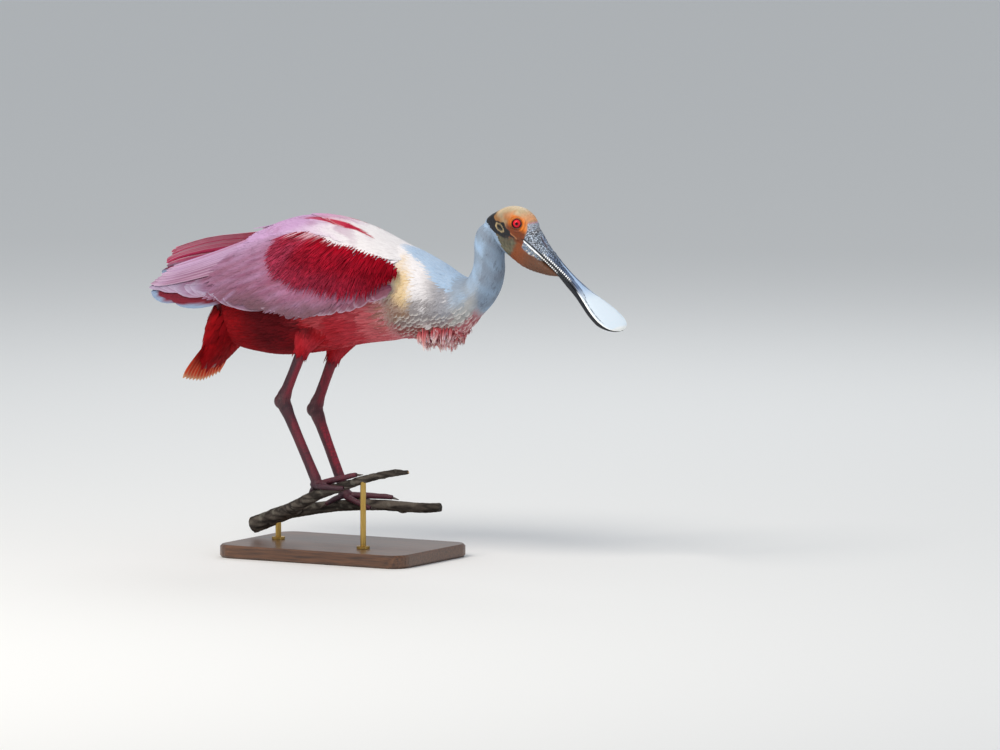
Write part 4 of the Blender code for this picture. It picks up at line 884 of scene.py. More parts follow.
def makeSkin():
    body = insetTube("body", bodySurface, (0, 17), 96, 220, skin["bodyDepth"])
    parts = [body, wingPad(-1), wingPad(1)]
    parts += [insetTube("thigh", thighSurfaces[side], (0, 1.0), 48, 40, skin["thighDepth"]) for side in (-1, 1)]
    parts.append(insetTube("tail", tailSurface, (0, 0.85), 64, 60, skin["tailDepth"]))
    piece = joined(parts, "skin")
    useModifier(piece, "REMESH", {"mode": "VOXEL", "voxel_size": skin["voxel"]})
    useModifier(piece, "SMOOTH", {"factor": 0.5, "iterations": 5})
    fused(piece, makeHead())
    legNames = [f"{part}_{side}" for part in ("shank", "tarsus", "foot") for side in ("left", "right")]
    legs = copyOf(legNames, "legs", skin["legSwell"])
    useModifier(legs, "REMESH", {"mode": "VOXEL", "voxel_size": skin["legVoxel"]})
    useModifier(legs, "SMOOTH", {"factor": 0.5, "iterations": 3})
    fused(piece, legs)
    piece.name = piece.data.name = "skin"
    for name in [layer.name for layer in piece.data.attributes if layer.name in ("tint", "scaly")]:
        piece.data.attributes.remove(piece.data.attributes[name])
    tint, leg = skinTint(pointsOf(piece))
    setColour(piece, "tint", tint)
    scaly = piece.data.attributes.new("scaly", "FLOAT", "POINT")
    scaly.data.foreach_set("value", leg.astype(np.float32))
    smoothShaded(piece)
    piece.data.materials.clear()
    piece.data.materials.append(skinFinish)
    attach(piece, "root")
    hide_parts("torso", "neck_lower", "neck_upper", "head", *[
        f"{part}_{side}" for part in ("thigh", "shank", "tarsus", "foot") for side in ("left", "right")])
    print(f"skin: {len(piece.data.loops) - 2 * len(piece.data.polygons)} triangles")


def scuteSkin(tree, place, colour, height):
    # legs and toes are covered by small flat scales about 2 mm across, with darker seams
    scaly = addNode(tree, "Attribute", {"attribute_name": "scaly"})
    cells = addNode(
        tree, "TexVoronoi", {"feature": "DISTANCE_TO_EDGE", "Scale": 1 / (2.1 * mm), "Randomness": 0.55},
        {"Vector": place.outputs["Object"]},
    )
    seam = addNode(tree, "MapRange", {"From Min": 0.0, "From Max": 0.16}, {"Value": cells.outputs["Distance"]})
    used = addNode(tree, "MapRange", {"To Min": 1.0}, {"Value": scaly.outputs["Fac"], "To Max": seam.outputs["Result"]})
    darker = addNode(tree, "MapRange", {"To Min": 0.62}, {"Value": used.outputs["Result"]})
    shaded = addNode(
        tree, "VectorMath", {"operation": "SCALE"}, {0: colour, "Scale": darker.outputs["Result"]})
    raised = addNode(
        tree, "Math", {"operation": "MULTIPLY_ADD", 1: 0.25}, {0: height, 2: used.outputs["Result"]})
    return shaded.outputs["Vector"], raised.outputs["Value"]


# bare skin, thick and faintly greasy: soft light, fine pores, scales on the legs
skinFinish = painted(
    "bare skin and leg scales", {"Roughness": 0.5, "Specular IOR Level": 0.45, "Subsurface Weight": 0.06,
                                 "Subsurface Scale": 0.002}, 0.7, 0.25, 0.1, scuteSkin)
makeSkin()


# Feathers and tufts: closed blades lofted from arrays, because there are many thousands.
outlines = {  # share of the length, share of the half width
    "hair": [(0, 0.5), (0.35, 1.0), (0.75, 0.7), (1.0, 0.08)],
    "tuft": [(0, 0.4), (0.3, 0.9), (0.62, 1.0), (0.88, 0.62), (1.0, 0.12)],
    "scallop": [(0, 0.45), (0.4, 0.95), (0.72, 1.0), (0.92, 0.66), (1.0, 0.18)],
    "covert": [(0, 0.35), (0.15, 0.62), (0.35, 0.9), (0.55, 1.0), (0.72, 0.98), (0.85, 0.82), (0.94, 0.56), (1, 0.14)],
    "flight": [
        (0, 0.3), (0.1, 0.55), (0.22, 0.8), (0.36, 0.95), (0.5, 1.0), (0.63, 1.0), (0.74, 0.97), (0.83, 0.88),
        (0.9, 0.73), (0.95, 0.54), (0.985, 0.32), (1, 0.1),
    ],
}
sections = {  # place across, and height as share of the thickness, once round
    "tuft": [(-1, 0), (0, 1), (1, 0)],
    "vane": [
        (-1, 0), (-0.72, 0.5), (-0.36, 0.6), (-0.05, 0.7), (0, 1.7), (0.05, 0.7), (0.36, 0.6), (0.72, 0.5), (1, 0),
        (0.72, -0.5), (0.36, -0.6), (0, -0.9), (-0.36, -0.6), (-0.72, -0.5),
    ],
}


def blades(place, normal, across, half, outline, section, thick, rise, barb, spot, exact=None):
    # closed blades round given middle lines; spot is where each root stands on the unwrapped skin
    shares = np.array([row[0] for row in outlines[outline]])
    widths = np.array([row[1] for row in outlines[outline]])
    k = np.array([row[0] for row in sections[section]])
    height = np.array([row[1] for row in sections[section]])
    reach = half[:, None] * widths
    if exact is None:
        points = place[:, :, None] + across[:, :, None] * (reach[..., None] * k)[..., None]
        out = np.broadcast_to(normal[:, :, None], points.shape)
    else:
        points, out = exact(reach[..., None] * k)
    points = points + out * (rise(shares[:, None], k) + height * thick)[..., None]
    length = np.linalg.norm(place[:, -1] - place[:, 0], axis=-1)
    phase = (length[:, None, None] * shares[:, None] * 0.75 - np.abs(k) * half[:, None, None] * 1.2) / barb * 6.28
    shape = points.shape[:3]
    chance = draw.uniform(0, 1, (len(place), 1, 1))
    return {
        "points": points, "s": np.broadcast_to(shares[:, None], shape), "k": np.broadcast_to(k, shape),
        "phase": phase, "chance": np.broadcast_to(chance, shape), "spot": spot, "root": place[:, 0],
    }


def laid(surface, root, tip, half, outline, section, lifts, thick=0.0003, tilt=0.0, sag=0.0, side=1, barb=0.0006,
         closely=False, spot=None):
    # feathers that lie along a surface from root to tip, given in its own coordinates
    shares = np.array([row[0] for row in outlines[outline]])
    u = root[0][:, None] + (tip[0] - root[0])[:, None] * shares
    v = root[1][:, None] + (tip[1] - root[1])[:, None] * shares + sag * np.sin(np.pi * shares)
    place, normal, byU, byV = surface.frame(u, v)
    turning = (tip[1] - root[1])[:, None] + sag * np.pi * np.cos(np.pi * shares)
    along = byU * (tip[0] - root[0])[:, None, None] + byV * turning[..., None]
    across = np.cross(normal, along)
    across /= np.maximum(np.linalg.norm(across, axis=-1, keepdims=True), 1e-12)
    uu, uv, vv = (byU * byU).sum(-1), (byU * byV).sum(-1), (byV * byV).sum(-1)
    a, b = (across * byU).sum(-1), (across * byV).sum(-1)
    scale = np.maximum(uu * vv - uv * uv, 1e-30)
    moveU, moveV = (a * vv - b * uv) / scale, (b * uu - a * uv) / scale

    def exact(reach):
        spots, out, _, _ = surface.frame(u[..., None] + reach * moveU[..., None], v[..., None] + reach * moveV[..., None])
        return spots, out

    def rise(s, k):
        return lifts[0] + (lifts[1] - lifts[0]) * s - k * side * tilt * np.minimum(s * 3, 1)

    if spot is None:
        spot = np.stack([root[1] / 360 % 1, root[0] * 0], -1)
    half = np.broadcast_to(half, root[0].shape)
    return blades(place, normal, across, half, outline, section, thick, rise, barb, spot, exact if closely else None)


def featherPiece(name, groups, material, cells=False):
    # one closed mesh from groups of blades, with their colours, barbs and bake layout
    points, quads, caps, tints, vanes, layout, start = [], [], {}, [], [], [], 0
    total = sum(len(group["points"]) for group in groups)
    perSide = math.ceil(math.sqrt(total))
    done = 0
    for group in groups:
        n, rings, around = group["points"].shape[:3]
        base = start + np.arange(n)[:, None] * rings * around
        ring = np.arange(rings - 1)[:, None] * around
        j = np.arange(around)
        corner = base[:, :, None] + (ring + j)[None]
        after = base[:, :, None] + (ring + (j + 1) % around)[None]
        quads.append(np.stack([corner, corner + around, after + around, after], -1).reshape(-1, 4))
        caps.setdefault(around, []).append(base + j)
        caps[around].append(base + (rings - 1) * around + j[::-1])
        points.append(group["points"].reshape(-1, 3))
        tints.append(np.broadcast_to(group["tint"], group["points"].shape).reshape(-1, 3))
        vanes.append(np.stack([group["phase"], group["k"], group["chance"]], -1).reshape(-1, 3))
        if cells:
            cell = np.arange(done, done + n)
            u = (cell % perSide)[:, None, None] + 0.5 + 0.46 * group["k"]
            v = (cell // perSide)[:, None, None] + 0.04 + 0.92 * group["s"]
            layout.append(np.stack([u / perSide, v / perSide], -1).reshape(-1, 2))
        else:
            own = np.stack([0.0015 * group["k"], 0.003 * group["s"]], -1)
            layout.append((group["spot"][:, None, None] * 0.99 + 0.003 + own).reshape(-1, 2))
        start += n * rings * around
        done += n
    faceSets = [np.concatenate(quads)] + [np.concatenate(found) for found in caps.values()]
    piece = meshPiece(name, np.concatenate(points), faceSets)
    setColour(piece, "tint", np.concatenate(tints))
    layer = piece.data.attributes.new("vane", "FLOAT_VECTOR", "POINT")
    layer.data.foreach_set("vector", np.concatenate(vanes).astype(np.float32).ravel())
    uvs = piece.data.uv_layers.new(name="OFBake")
    corners = np.concatenate([faces.ravel() for faces in faceSets])
    uvs.data.foreach_set("uv", np.concatenate(layout)[corners].astype(np.float32).ravel())
    smoothShaded(piece, 62)
    piece.data.materials.append(material)
    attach(piece, "root")
    print(f"{name}: {total} feathers, {len(piece.data.loops) - 2 * len(piece.data.polygons)} triangles")
    return piece


def withTint(group, colour):
    group["tint"] = colour
    return group


softDown = featherFinish("contour feather, soft barbs", 0.8, 0.2, 0.05, 0.05)
dyedDown = featherFinish("red contour feather, soft barbs", 0.85, 0.06, 0.05, 0.05)
stiffVane = featherFinish("flight feather, zipped vane", 0.62, 0.25, 0.035, 0.06)
hairFeather = featherFinish("loose ornamental feather", 0.7, 0.05, 0.08, 0.05)


# The coat of the trunk, breast and neck.
coat = {
    "trunkSpacing": (0.0052, 0.0022), "trunkLength": 0.025, "trunkHalf": 0.0018,
    "frontSpacing": (0.0028, 0.0015), "frontLength": 0.0120, "frontHalf": 0.0013,
    "scallopSpacing": (0.0062, 0.0050), "scallopLength": 0.0125, "scallopHalf": 0.0028,
    "neckSpacing": (0.0020, 0.0013), "neckLength": 0.0075, "neckHalf": 0.0011,
    "napeSpacing": (0.0016, 0.0010), "napeLength": 0.0056, "napeHalf": 0.00085,
    "lieSpread": 0.2,
}


def bodyGroup(u, v, lie, length, half, outline, lifts, thick, barb=0.0005):
    length = length * draw.uniform(0.8, 1.15, len(u))
    lie = lie + draw.normal(0, coat["lieSpread"] * 0.5, (len(u), 3))
    tip = bodySurface.towards(u, v, lie, length)
    spot = np.stack([(v / 360) % 1, u / 17.2], -1)
    return laid(bodySurface, (u, v), tip, half * draw.uniform(0.8, 1.15, len(u)), outline, "tuft", lifts, thick,
                barb=barb, spot=spot)


def tuftTint(group, paleTip, tipColour, vary=0.1):
    # each tuft keeps the colour of its root, with a paler tip and its own brightness
    root = bodyTint(group["root"])[:, None, None]
    s, chance = group["s"][..., None], group["chance"][..., None]
    bright = 1 + vary * (2 * chance - 1) + 0.1 * (s - 0.5)
    return withTint(group, root * bright * (1 - paleTip * s**4) + tipColour * paleTip * s**4)


def trunkCoat():
    # belly, flanks and rump; what the folded wings cover stays bare
    u, v = bodySurface.scatter((0.05, 6.9), (0, 360), coat["trunkSpacing"])
    low = np.sin(np.radians(v)) < 0.12
    kept = low | (u < 0.9)
    u, v, low = u[kept], v[kept], low[kept]
    lie = np.stack([-1 + 0 * u, 0 * u, np.interp(u, [2, 6], [-0.3, -0.08])], -1)
    group = bodyGroup(u, v, lie, coat["trunkLength"], coat["trunkHalf"], "tuft", (-0.0005, 0.0009), 0.0003)
    group = tuftTint(group, 0.12, plumage["rose"], 0.24)
    featherPiece("coat_trunk", [group], dyedDown)


def frontCoat():
    u, v = bodySurface.scatter((6.3, 9.8), (0, 360), coat["frontSpacing"])
    side = np.sin(np.radians(v))
    shallow = smoothStep(0.3, 0.75, side)
    lie = np.stack([-0.8 + 0 * u, 0 * u, -0.62 + 0.5 * shallow], -1)
    group = bodyGroup(u, v, lie, coat["frontLength"], coat["frontHalf"], "tuft", (-0.0004, 0.0005), 0.0002)
    featherPiece("coat_breast", [tuftTint(group, 0.2, plumage["white"], 0.06)], softDown)


def scallopCoat():
    # broader pale-edged feathers on the lower breast
    u, v = bodySurface.scatter((7.1, 10.2), (184, 356), coat["scallopSpacing"])
    kept = np.sin(np.radians(v)) < -0.10 - 0.16 * draw.uniform(0, 1, len(u))
    u, v = u[kept], v[kept]
    lie = np.stack([-0.75 + 0 * u, 0 * u, -0.65 + 0 * u], -1)
    group = bodyGroup(u, v, lie, coat["scallopLength"], coat["scallopHalf"], "scallop", (-0.0003, 0.0015), 0.0002)
    root = bodyTint(group["root"])[:, None, None]
    rearSide = group["k"] * np.where(v < 270, 1, -1)[:, None, None]
    edge = np.maximum(smoothStep(0.7, 1.0, rearSide) * smoothStep(0.5, 0.75, group["s"]),
                      0.7 * smoothStep(0.9, 1.0, group["s"]))
    pale = mixed(plumage["white"], plumage["cream"], 0.4)
    group["tint"] = mixed(root * 0.92, pale, 0.75 * edge) * (0.92 + 0.12 * group["chance"])[..., None]
    featherPiece("coat_scallops", [group], softDown)


def neckCoat(name, span, spacing, length, half):
    # short velvety feathers, each only a little longer than its neighbour is far away
    u, v = bodySurface.scatter(span, (0, 360), spacing)
    _, _, byU, _ = bodySurface.frame(u, v)
    fine = np.interp(u, [9.3, 10.5], [1.5, 1.0])
    down = -byU / np.linalg.norm(byU, axis=-1, keepdims=True)
    group = bodyGroup(u, v, down, length * fine, half * fine, "tuft", (-0.0003, 0.0003), 0.00014, 0.0004)
    featherPiece(name, [tuftTint(group, 0.15, plumage["scallop"], 0.05)], softDown)


def collarCoat():
    # the neck's feathers go on over the back of the jaw, up to the bare skin
    x, angle = headSurface.scatter((-57, -10), (180, 360), (0.0013, 0.0010))
    x, angle = np.concatenate([x, x]), np.concatenate([angle, angle])
    local = sceneToHead(headSurface.point(x, angle))
    border = np.interp(local[:, 2], [-36.5, -33.5, -20.1, -18.4, -17.5], [-9, -12, -30.3, -33, -62])
    kept = (local[:, 0] < border + 0.8 * ripple(local, 4, 2)) & (local[:, 2] < -17.6)
    x, angle = x[kept], angle[kept]
    back = np.array((-0.85, 0, -0.52)) @ headTurn.T
    tip = headSurface.towards(x, angle, back + draw.normal(0, 0.1, (len(x), 3)), 0.0052 * draw.uniform(0.8, 1.2, len(x)))
    spot = np.stack([angle / 360, (x + 60) / 120], -1)
    group = laid(headSurface, (x, angle), tip, np.full(len(x), 0.0008), "tuft", "tuft", (-0.0003, 0.0005), 0.00016,
                 barb=0.0004, spot=spot)
    p = inModel(group["root"])
    # the white collar feathers in the neck's painted shade blues
    tint = mixed(plumage["neckShadeBlue"], plumage["paleShadeBlue"], 0.4 + 0.4 * ripple(p, 11, 6))
    group["tint"] = tint[:, None, None] * (0.95 + 0.1 * group["chance"])[..., None]
    featherPiece("coat_collar", [group], softDown)


trunkCoat()
frontCoat()
scallopCoat()
neckCoat("coat_neck", (9.3, 13.2), coat["neckSpacing"], coat["neckLength"], coat["neckHalf"])
neckCoat("coat_nape", (13.0, 17.3), coat["napeSpacing"], coat["napeLength"], coat["napeHalf"])
collarCoat()


# Feathers of the folded wings, tier by tier from the lowest.
wingTiers = {  # count, first and last root, first and last tip (x and angle), half width, lifts, tilt, sag, outline
    "primary": (8, (-180, -7), (-186, 9), (-280, -13), (-320, 1), 8.5, (-5.0, -1.2), 0.8, -4, "flight"),
    "secondary": (15, (-124, -12), (-150, 24), (-206, -12), (-318, 14), 9.5, (-4.0, 0.6), 0.9, -4, "flight"),
    "tertial": (11, (-124, 26), (-132, 70), (-314, 22), (-298, 64), 9, (-4.0, 2.4), 0.9, 4, "flight"),
    "greater": (15, (30, 8), (-92, 3), (8, -5), (-148, -16), 8.5, (-2.5, 0.6), 0.6, 0, "covert"),
    "rear": (10, (-84, 6), (-104, 40), (-166, -12), (-214, 27), 11.5, (-3.5, 0.1), 0.5, 0, "covert"),
    "middle": (9, (-50, 4), (-86, 44), (-126, -8), (-172, 38), 11, (-2.5, 0.0), 0.4, 0, "covert"),
    "scapular": (6, (-14, 66), (-40, 88), (-150, 61), (-158, 88), 13, (-2.5, 1.1), 0.3, 0, "covert"),
    "shoulder": (4, (10, 70), (-6, 88), (-86, 78), (-110, 88), 10, (-1.5, 2.0), 0.3, 0, "covert"),
}
coverts = {
    "underSpacing": (0.0095, 0.0060), "underLength": 0.028, "underHalf": 0.0044,
    "silkSpacing": (0.0054, 0.0023), "silkLength": 0.034, "silkHalf": 0.0021,
    "hairSpacing": (0.0028, 0.0014), "hairLength": 0.027, "hairHalf": 0.0010,
    "satinSpacing": (0.0040, 0.0015), "satinLength": 0.026, "satinHalf": 0.0016,
}


def wingSpot(x, angle):
    return np.stack([np.clip((angle + 40) / 140, 0, 1), np.clip((x + 345) / 400, 0, 1)], -1)


def wingVane(side, tier):
    count, root0, root1, tip0, tip1, half, lifts, tilt, sag, outline = wingTiers[tier]
    share = np.linspace(0, 1, count)[:, None]
    root = np.array(root0) * (1 - share) + np.array(root1) * share + draw.normal(0, 1.0, (count, 2))
    tip = np.array(tip0) * (1 - share) + np.array(tip1) * share + draw.normal(0, (2.4, 0.9), (count, 2))
    if tier == "greater":
        tip[:, 1] = wingEdge(tip[:, 0]) + 7
    group = laid(
        wingSurfaces[side], (root[:, 0], root[:, 1]), (tip[:, 0], tip[:, 1]), half * mm * draw.uniform(0.95, 1.05, count),
        outline, "vane", np.array(lifts) * mm, 0.0005, tilt * mm, sag, side, 0.0011, True,
    )
    c = plumage
    s, k, chance = group["s"], group["k"] * side, group["chance"]
    p, x, angle = placeOnWing(group["points"], side)
    colour = wingTint(group["points"], side)
    # painted shade, a little rosier, on the half of each vane that lies under its neighbour
    shade = 0.86 * colour * mixed(c["white"], c["wingRose"] * 1.5, 0.35 + 0 * s)
    colour = mixed(colour, shade, 0.8 * smoothStep(-0.2, 0.8, k))
    rim = smoothStep(0.78, 1.0, np.abs(k)) * smoothStep(0.2, 0.5, s)
    edge = 0.05 if outline == "covert" and tier != "greater" else 0.4
    colour = mixed(colour, c["vaneEdge"], edge * rim + edge * smoothStep(0.86, 1.0, s))
    if tier == "primary":
        seamAngle = np.interp(x, *np.array(primaryCreaseShade, float).T)
        # white primary tips, darkened to grey-blue as painted shade
        colour = mixed(c["tipWhiteShaded"], c["wingPink"], smoothStep(-228, -200, x))
        # painted shadow: dark crimson along the crease under the tertials, partly the primaries' inner vanes
        colour = mixed(colour, c["seam"], smoothStep(-1.6, 0.4, angle - seamAngle))
    if outline == "flight":
        lines = gauss(k - 0.5, 0.14) * smoothStep(0.1, 0.35, s) * smoothStep(1.0, 0.8, s)
        colour = mixed(colour, c["wingRose"], (0.3 + 0.4 * (chance > 0.5)) * lines)
        # painted shade along the tucked edge of each flight feather
        colour = mixed(colour, c["pinkShade"], 0.5 * smoothStep(0.6, 0.9, k))
    if tier == "secondary":
        # white secondary tips, darkened to grey-blue as painted shade
        colour = mixed(colour, c["tipWhiteShaded"], 0.3 * smoothStep(0.75, 1.0, s))
    # the far wing's tertials and secondaries in rose: their own colour, brightened as painted light where the wing
    # turns away from the lamps
    if tier in ("tertial", "secondary") and side > 0:
        rose = mixed(c["deepRose"], c["palePink"], 0.75 * smoothStep(0.8, 1.0, np.abs(k)) + 0.1 * chance)
        colour = mixed(colour, rose, 0.95 * smoothStep(10, 30, angle))
    if tier in ("scapular", "shoulder"):
        colour = satinTint(group["points"], side)
        colour = mixed(colour, c["white"], 0.25 * rim)
        # painted shade on the tucked side of each feather
        colour = colour * (1 - 0.06 * smoothStep(0.3, 1.0, k))[..., None]
    streak = 0.04 * np.sin(group["phase"] * 0.13 + 9 * chance)
    group["tint"] = colour * (0.96 + 0.06 * chance + streak)[..., None]
    return group


def wingTufts(side, keep, ranges, spacing, lie, length, half, outline, lifts, thick, barb=0.0006):
    # small feathers over part of the wing, lying along a direction that may change from place to place
    surface = wingSurfaces[side]
    u, v = surface.scatter(*ranges, spacing)
    lieThere = lie(u, v) + draw.normal(0, 0.09, (len(u), 3))
    reach = length * draw.uniform(0.82, 1.15, len(u)) * np.interp(u, [18, 34], [1.0, 0.55])
    tip = surface.towards(u, v, lieThere, reach)
    kept = keep(u, v, *tip)
    u, v, tip = u[kept], v[kept], (tip[0][kept], tip[1][kept])
    halves = half * draw.uniform(0.8, 1.15, len(u))
    return laid(surface, (u, v), tip, halves, outline, "tuft", lifts, thick, side=side, barb=barb, spot=wingSpot(u, v))


def rearward(x, angle):
    # coverts lie back along the wing and down at its front
    drop = np.interp(x, [-140, -40, 30], [0.45, 0.75, 1.2])
    return np.stack([-1 + 0 * x, 0 * x, -drop], -1)


def hairLie(x, angle):
    # the loose feathers of the patch fall nearly straight down at the front, and slant to the rear behind it
    lean = np.interp(x, [-130, -60, 25], [1.0, 0.6, 0.22])
    return np.stack([-lean, 0 * x, -1 + 0 * x], -1)


def wingCoat(side):
    c = plumage
    word = sideNames[side]
    tiers = {tier: wingVane(side, tier) for tier in wingTiers}
    flight = [tiers[name] for name in ("primary", "secondary", "tertial")]
    vanes = featherPiece(f"flight_{word}", flight, stiffVane, cells=True)
    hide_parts(f"wing_{word}")
    rows = [tiers[name] for name in ("greater", "rear", "middle", "scapular", "shoulder")]
    featherPiece(f"coverts_{word}", rows, stiffVane, cells=True)

    def aboveEdge(u, v, tipU, tipV):
        rear = np.interp(tipV, [0, 25, 48, 66], [-234, -226, -198, -172]) + 7 * np.sin(1.7 * v)
        return (tipV > wingEdge(tipU) + 3 + 8 * smoothStep(-95, -50, tipU)) & (tipU > rear)

    def silky(group, edge):
        rim = smoothStep(0.6, 1.0, np.abs(group["k"])) * 0.4 + 0.6 * smoothStep(0.75, 1, group["s"])
        colour = wingTint(group["points"], side) * (0.9 + 0.2 * group["chance"])[..., None]
        group["tint"] = mixed(colour, c["vaneEdge"], edge * rim)
        return group

    under = silky(wingTufts(
        side, aboveEdge, ((-190, 28), (-18, 74)), coverts["underSpacing"], rearward,
        coverts["underLength"], coverts["underHalf"], "scallop", (-0.0016, 0.0002), 0.0004,
    ), 0.15)
    silk = silky(wingTufts(
        side, aboveEdge, ((-205, 28), (-16, 56)), coverts["silkSpacing"], rearward,
        coverts["silkLength"], coverts["silkHalf"], "tuft", (-0.0002, 0.0013), 0.0002,
    ), 0.1)
    featherPiece(f"small_coverts_{word}", [under, silk], softDown)

    def onShoulder(u, v, tipU, tipV):
        edge = np.interp(tipU, *np.array(satinEdge, float).T)
        return (tipV > edge - 1 + draw.normal(0, 1, len(u))) & (tipV > -12) & (np.maximum(u, tipU) < 33)

    satin = wingTufts(
        side, onShoulder, ((-162, 37), (-14, 97)), coverts["satinSpacing"],
        lambda x, angle: np.stack([-1 + 0 * x, 0 * x, np.interp(x, [-60, 0, 40], [-0.12, -0.35, -1.0])], -1),
        coverts["satinLength"], coverts["satinHalf"], "tuft", (0.0003, 0.0014), 0.00015,
    )
    colour = satinTint(satin["points"], side)
    satin["tint"] = colour * (0.95 + 0.08 * satin["chance"])[..., None]
    featherPiece(f"shoulder_{word}", [satin], softDown)

    def inPatch(u, v, tipU, tipV):
        ragged = draw.normal(0, 1.6, len(u))
        there = inOutline(patchOutline, u, v, 2.5) > 0.3
        return there & (inOutline(patchOutline, tipU, tipV + ragged, 5.0) > 0.12)

    hair = wingTufts(
        side, inPatch, ((-142, 38), (-2, 58)), coverts["hairSpacing"], hairLie,
        coverts["hairLength"], coverts["hairHalf"], "hair", (0.0010, 0.0048), 0.0004, 0.0004,
    )
    model, x, angle = placeOnWing(hair["points"], side)
    deep = mixed(c["carmine"], c["carmineBright"], 0.4 + 0.5 * ripple(model, 6, 4) - 0.5 * smoothStep(-10, 30, x))
    rear = smoothStep(-84, -130, x + 14 * ripple(model, 12, 5) - 20 * (hair["chance"] - 0.5))
    ends = smoothStep(0.4, 1.0, hair["s"]) * np.interp(x, [-120, -20, 30], [0.8, 0.35, 0.05])
    low = smoothStep(22, 2, angle - 6 * smoothStep(-60, -120, x))
    colour = mixed(deep, c["fringe"], np.maximum(0.7 * rear, ends * (0.3 + 0.7 * low)))
    top = smoothStep(44, 50, angle + 2 * ripple(model, 4, 1)) * smoothStep(-30, -70, x)
    colour = mixed(colour, c["palePink"], 0.6 * top * (hair["chance"] > 0.5))
    hair["tint"] = colour * (0.6 + 0.55 * hair["chance"])[..., None]
    featherPiece(f"carmine_{word}", [hair], hairFeather)


for side in (-1, 1):
    wingCoat(side)


# Tail, its coverts and the thighs.
def tailCoat():
    c = plumage
    count = 12
    place = np.linspace(-1, 1, count)
    root = (np.full(count, 0.34), 20 * place)
    spreadOut = np.tan(np.radians(19 * place)) * tailLength * 0.66
    tip = (1.0 - 0.05 * place**2, 20 * place + spreadOut)
    fan = laid(fanSurface, root, tip, np.full(count, 0.011), "flight", "vane", (-0.0008, 0.0004), 0.0006,
               0.0009, 0.0, 1, 0.001, True)
    colour = mixed(c["undertail"], c["tail"], smoothStep(0.5, 0.95, fan["s"] + 0.1 * fan["chance"]))
    colour = mixed(colour, c["tailTip"], 0.8 * smoothStep(0.9, 1.0, fan["s"] + 0.04 * np.abs(fan["k"])))
    colour = mixed(colour, c["tailTip"], 0.5 * smoothStep(0.7, 1.0, np.abs(fan["k"])) * smoothStep(0.5, 0.9, fan["s"]))
    colour = mixed(colour, c["tailTip"], 0.4 * gauss(fan["k"], 0.08) * smoothStep(0.4, 0.8, fan["s"]))
    fan["tint"] = colour * (0.9 + 0.2 * fan["chance"])[..., None]
    vanes = featherPiece("tail_fan", [fan], dyedDown, cells=True)
    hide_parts("tail")

    u, v = tailSurface.scatter((0.02, 0.56), (0, 360), (0.006, 0.0045))
    lie = tailAlong + draw.normal(0, 0.1, (len(u), 3))
    tip = tailSurface.towards(u, v, lie, 0.026 * draw.uniform(0.55, 1.25, len(u)))
    spot = np.stack([(v / 360) % 1, u], -1)
    soft = laid(tailSurface, (u, v), tip, np.full(len(u), 0.0036), "tuft", "tuft", (-0.0005, 0.0018), 0.0005, spot=spot)
    under = mixed(c["undertail"], c["maroon"], 0.15 + 0.35 * ripple(inModel(soft["root"]), 20, 3))[:, None, None]
    soft["tint"] = under * (0.8 + 0.45 * soft["chance"] + 0.25 * soft["s"])[..., None]
    featherPiece("tail_coverts", [soft], dyedDown)


def thighCoat(side):
    surface = thighSurfaces[side]
    u, v = surface.scatter((0.0, 0.97), (0, 360), (0.0040, 0.0018))
    hip, heel = (np.array(spot, float) for spot in hips[side])
    lie = (heel - hip) / np.linalg.norm(heel - hip) + draw.normal(0, 0.12, (len(u), 3))
    tip = surface.towards(u, v, lie, 0.014 * draw.uniform(0.8, 1.15, len(u)))
    spot = np.stack([(v / 360) % 1, u], -1)
    half = np.interp(u, [0.6, 1.0], [0.0016, 0.0009])
    soft = laid(surface, (u, v), tip, half, "tuft", "tuft", (-0.0004, 0.0003), 0.0002, spot=spot)
    front = smoothStep(-0.6, 0.6, -np.sin(np.radians(v)))
    colour = mixed(plumage["belly"], plumage["rose"], 0.1 + 0.6 * front + 0.3 * ripple(inModel(soft["root"]), 12, 2))
    colour = mixed(bodyTint(soft["root"]), colour, smoothStep(0.3, 0.65, u))
    colour = mixed(colour, face["maroon"], 0.6 * smoothStep(0.8, 1.0, u))[:, None, None]
    soft["tint"] = colour * (0.85 + 0.3 * soft["chance"])[..., None]
    featherPiece(f"thigh_coat_{sideNames[side]}", [soft], dyedDown)


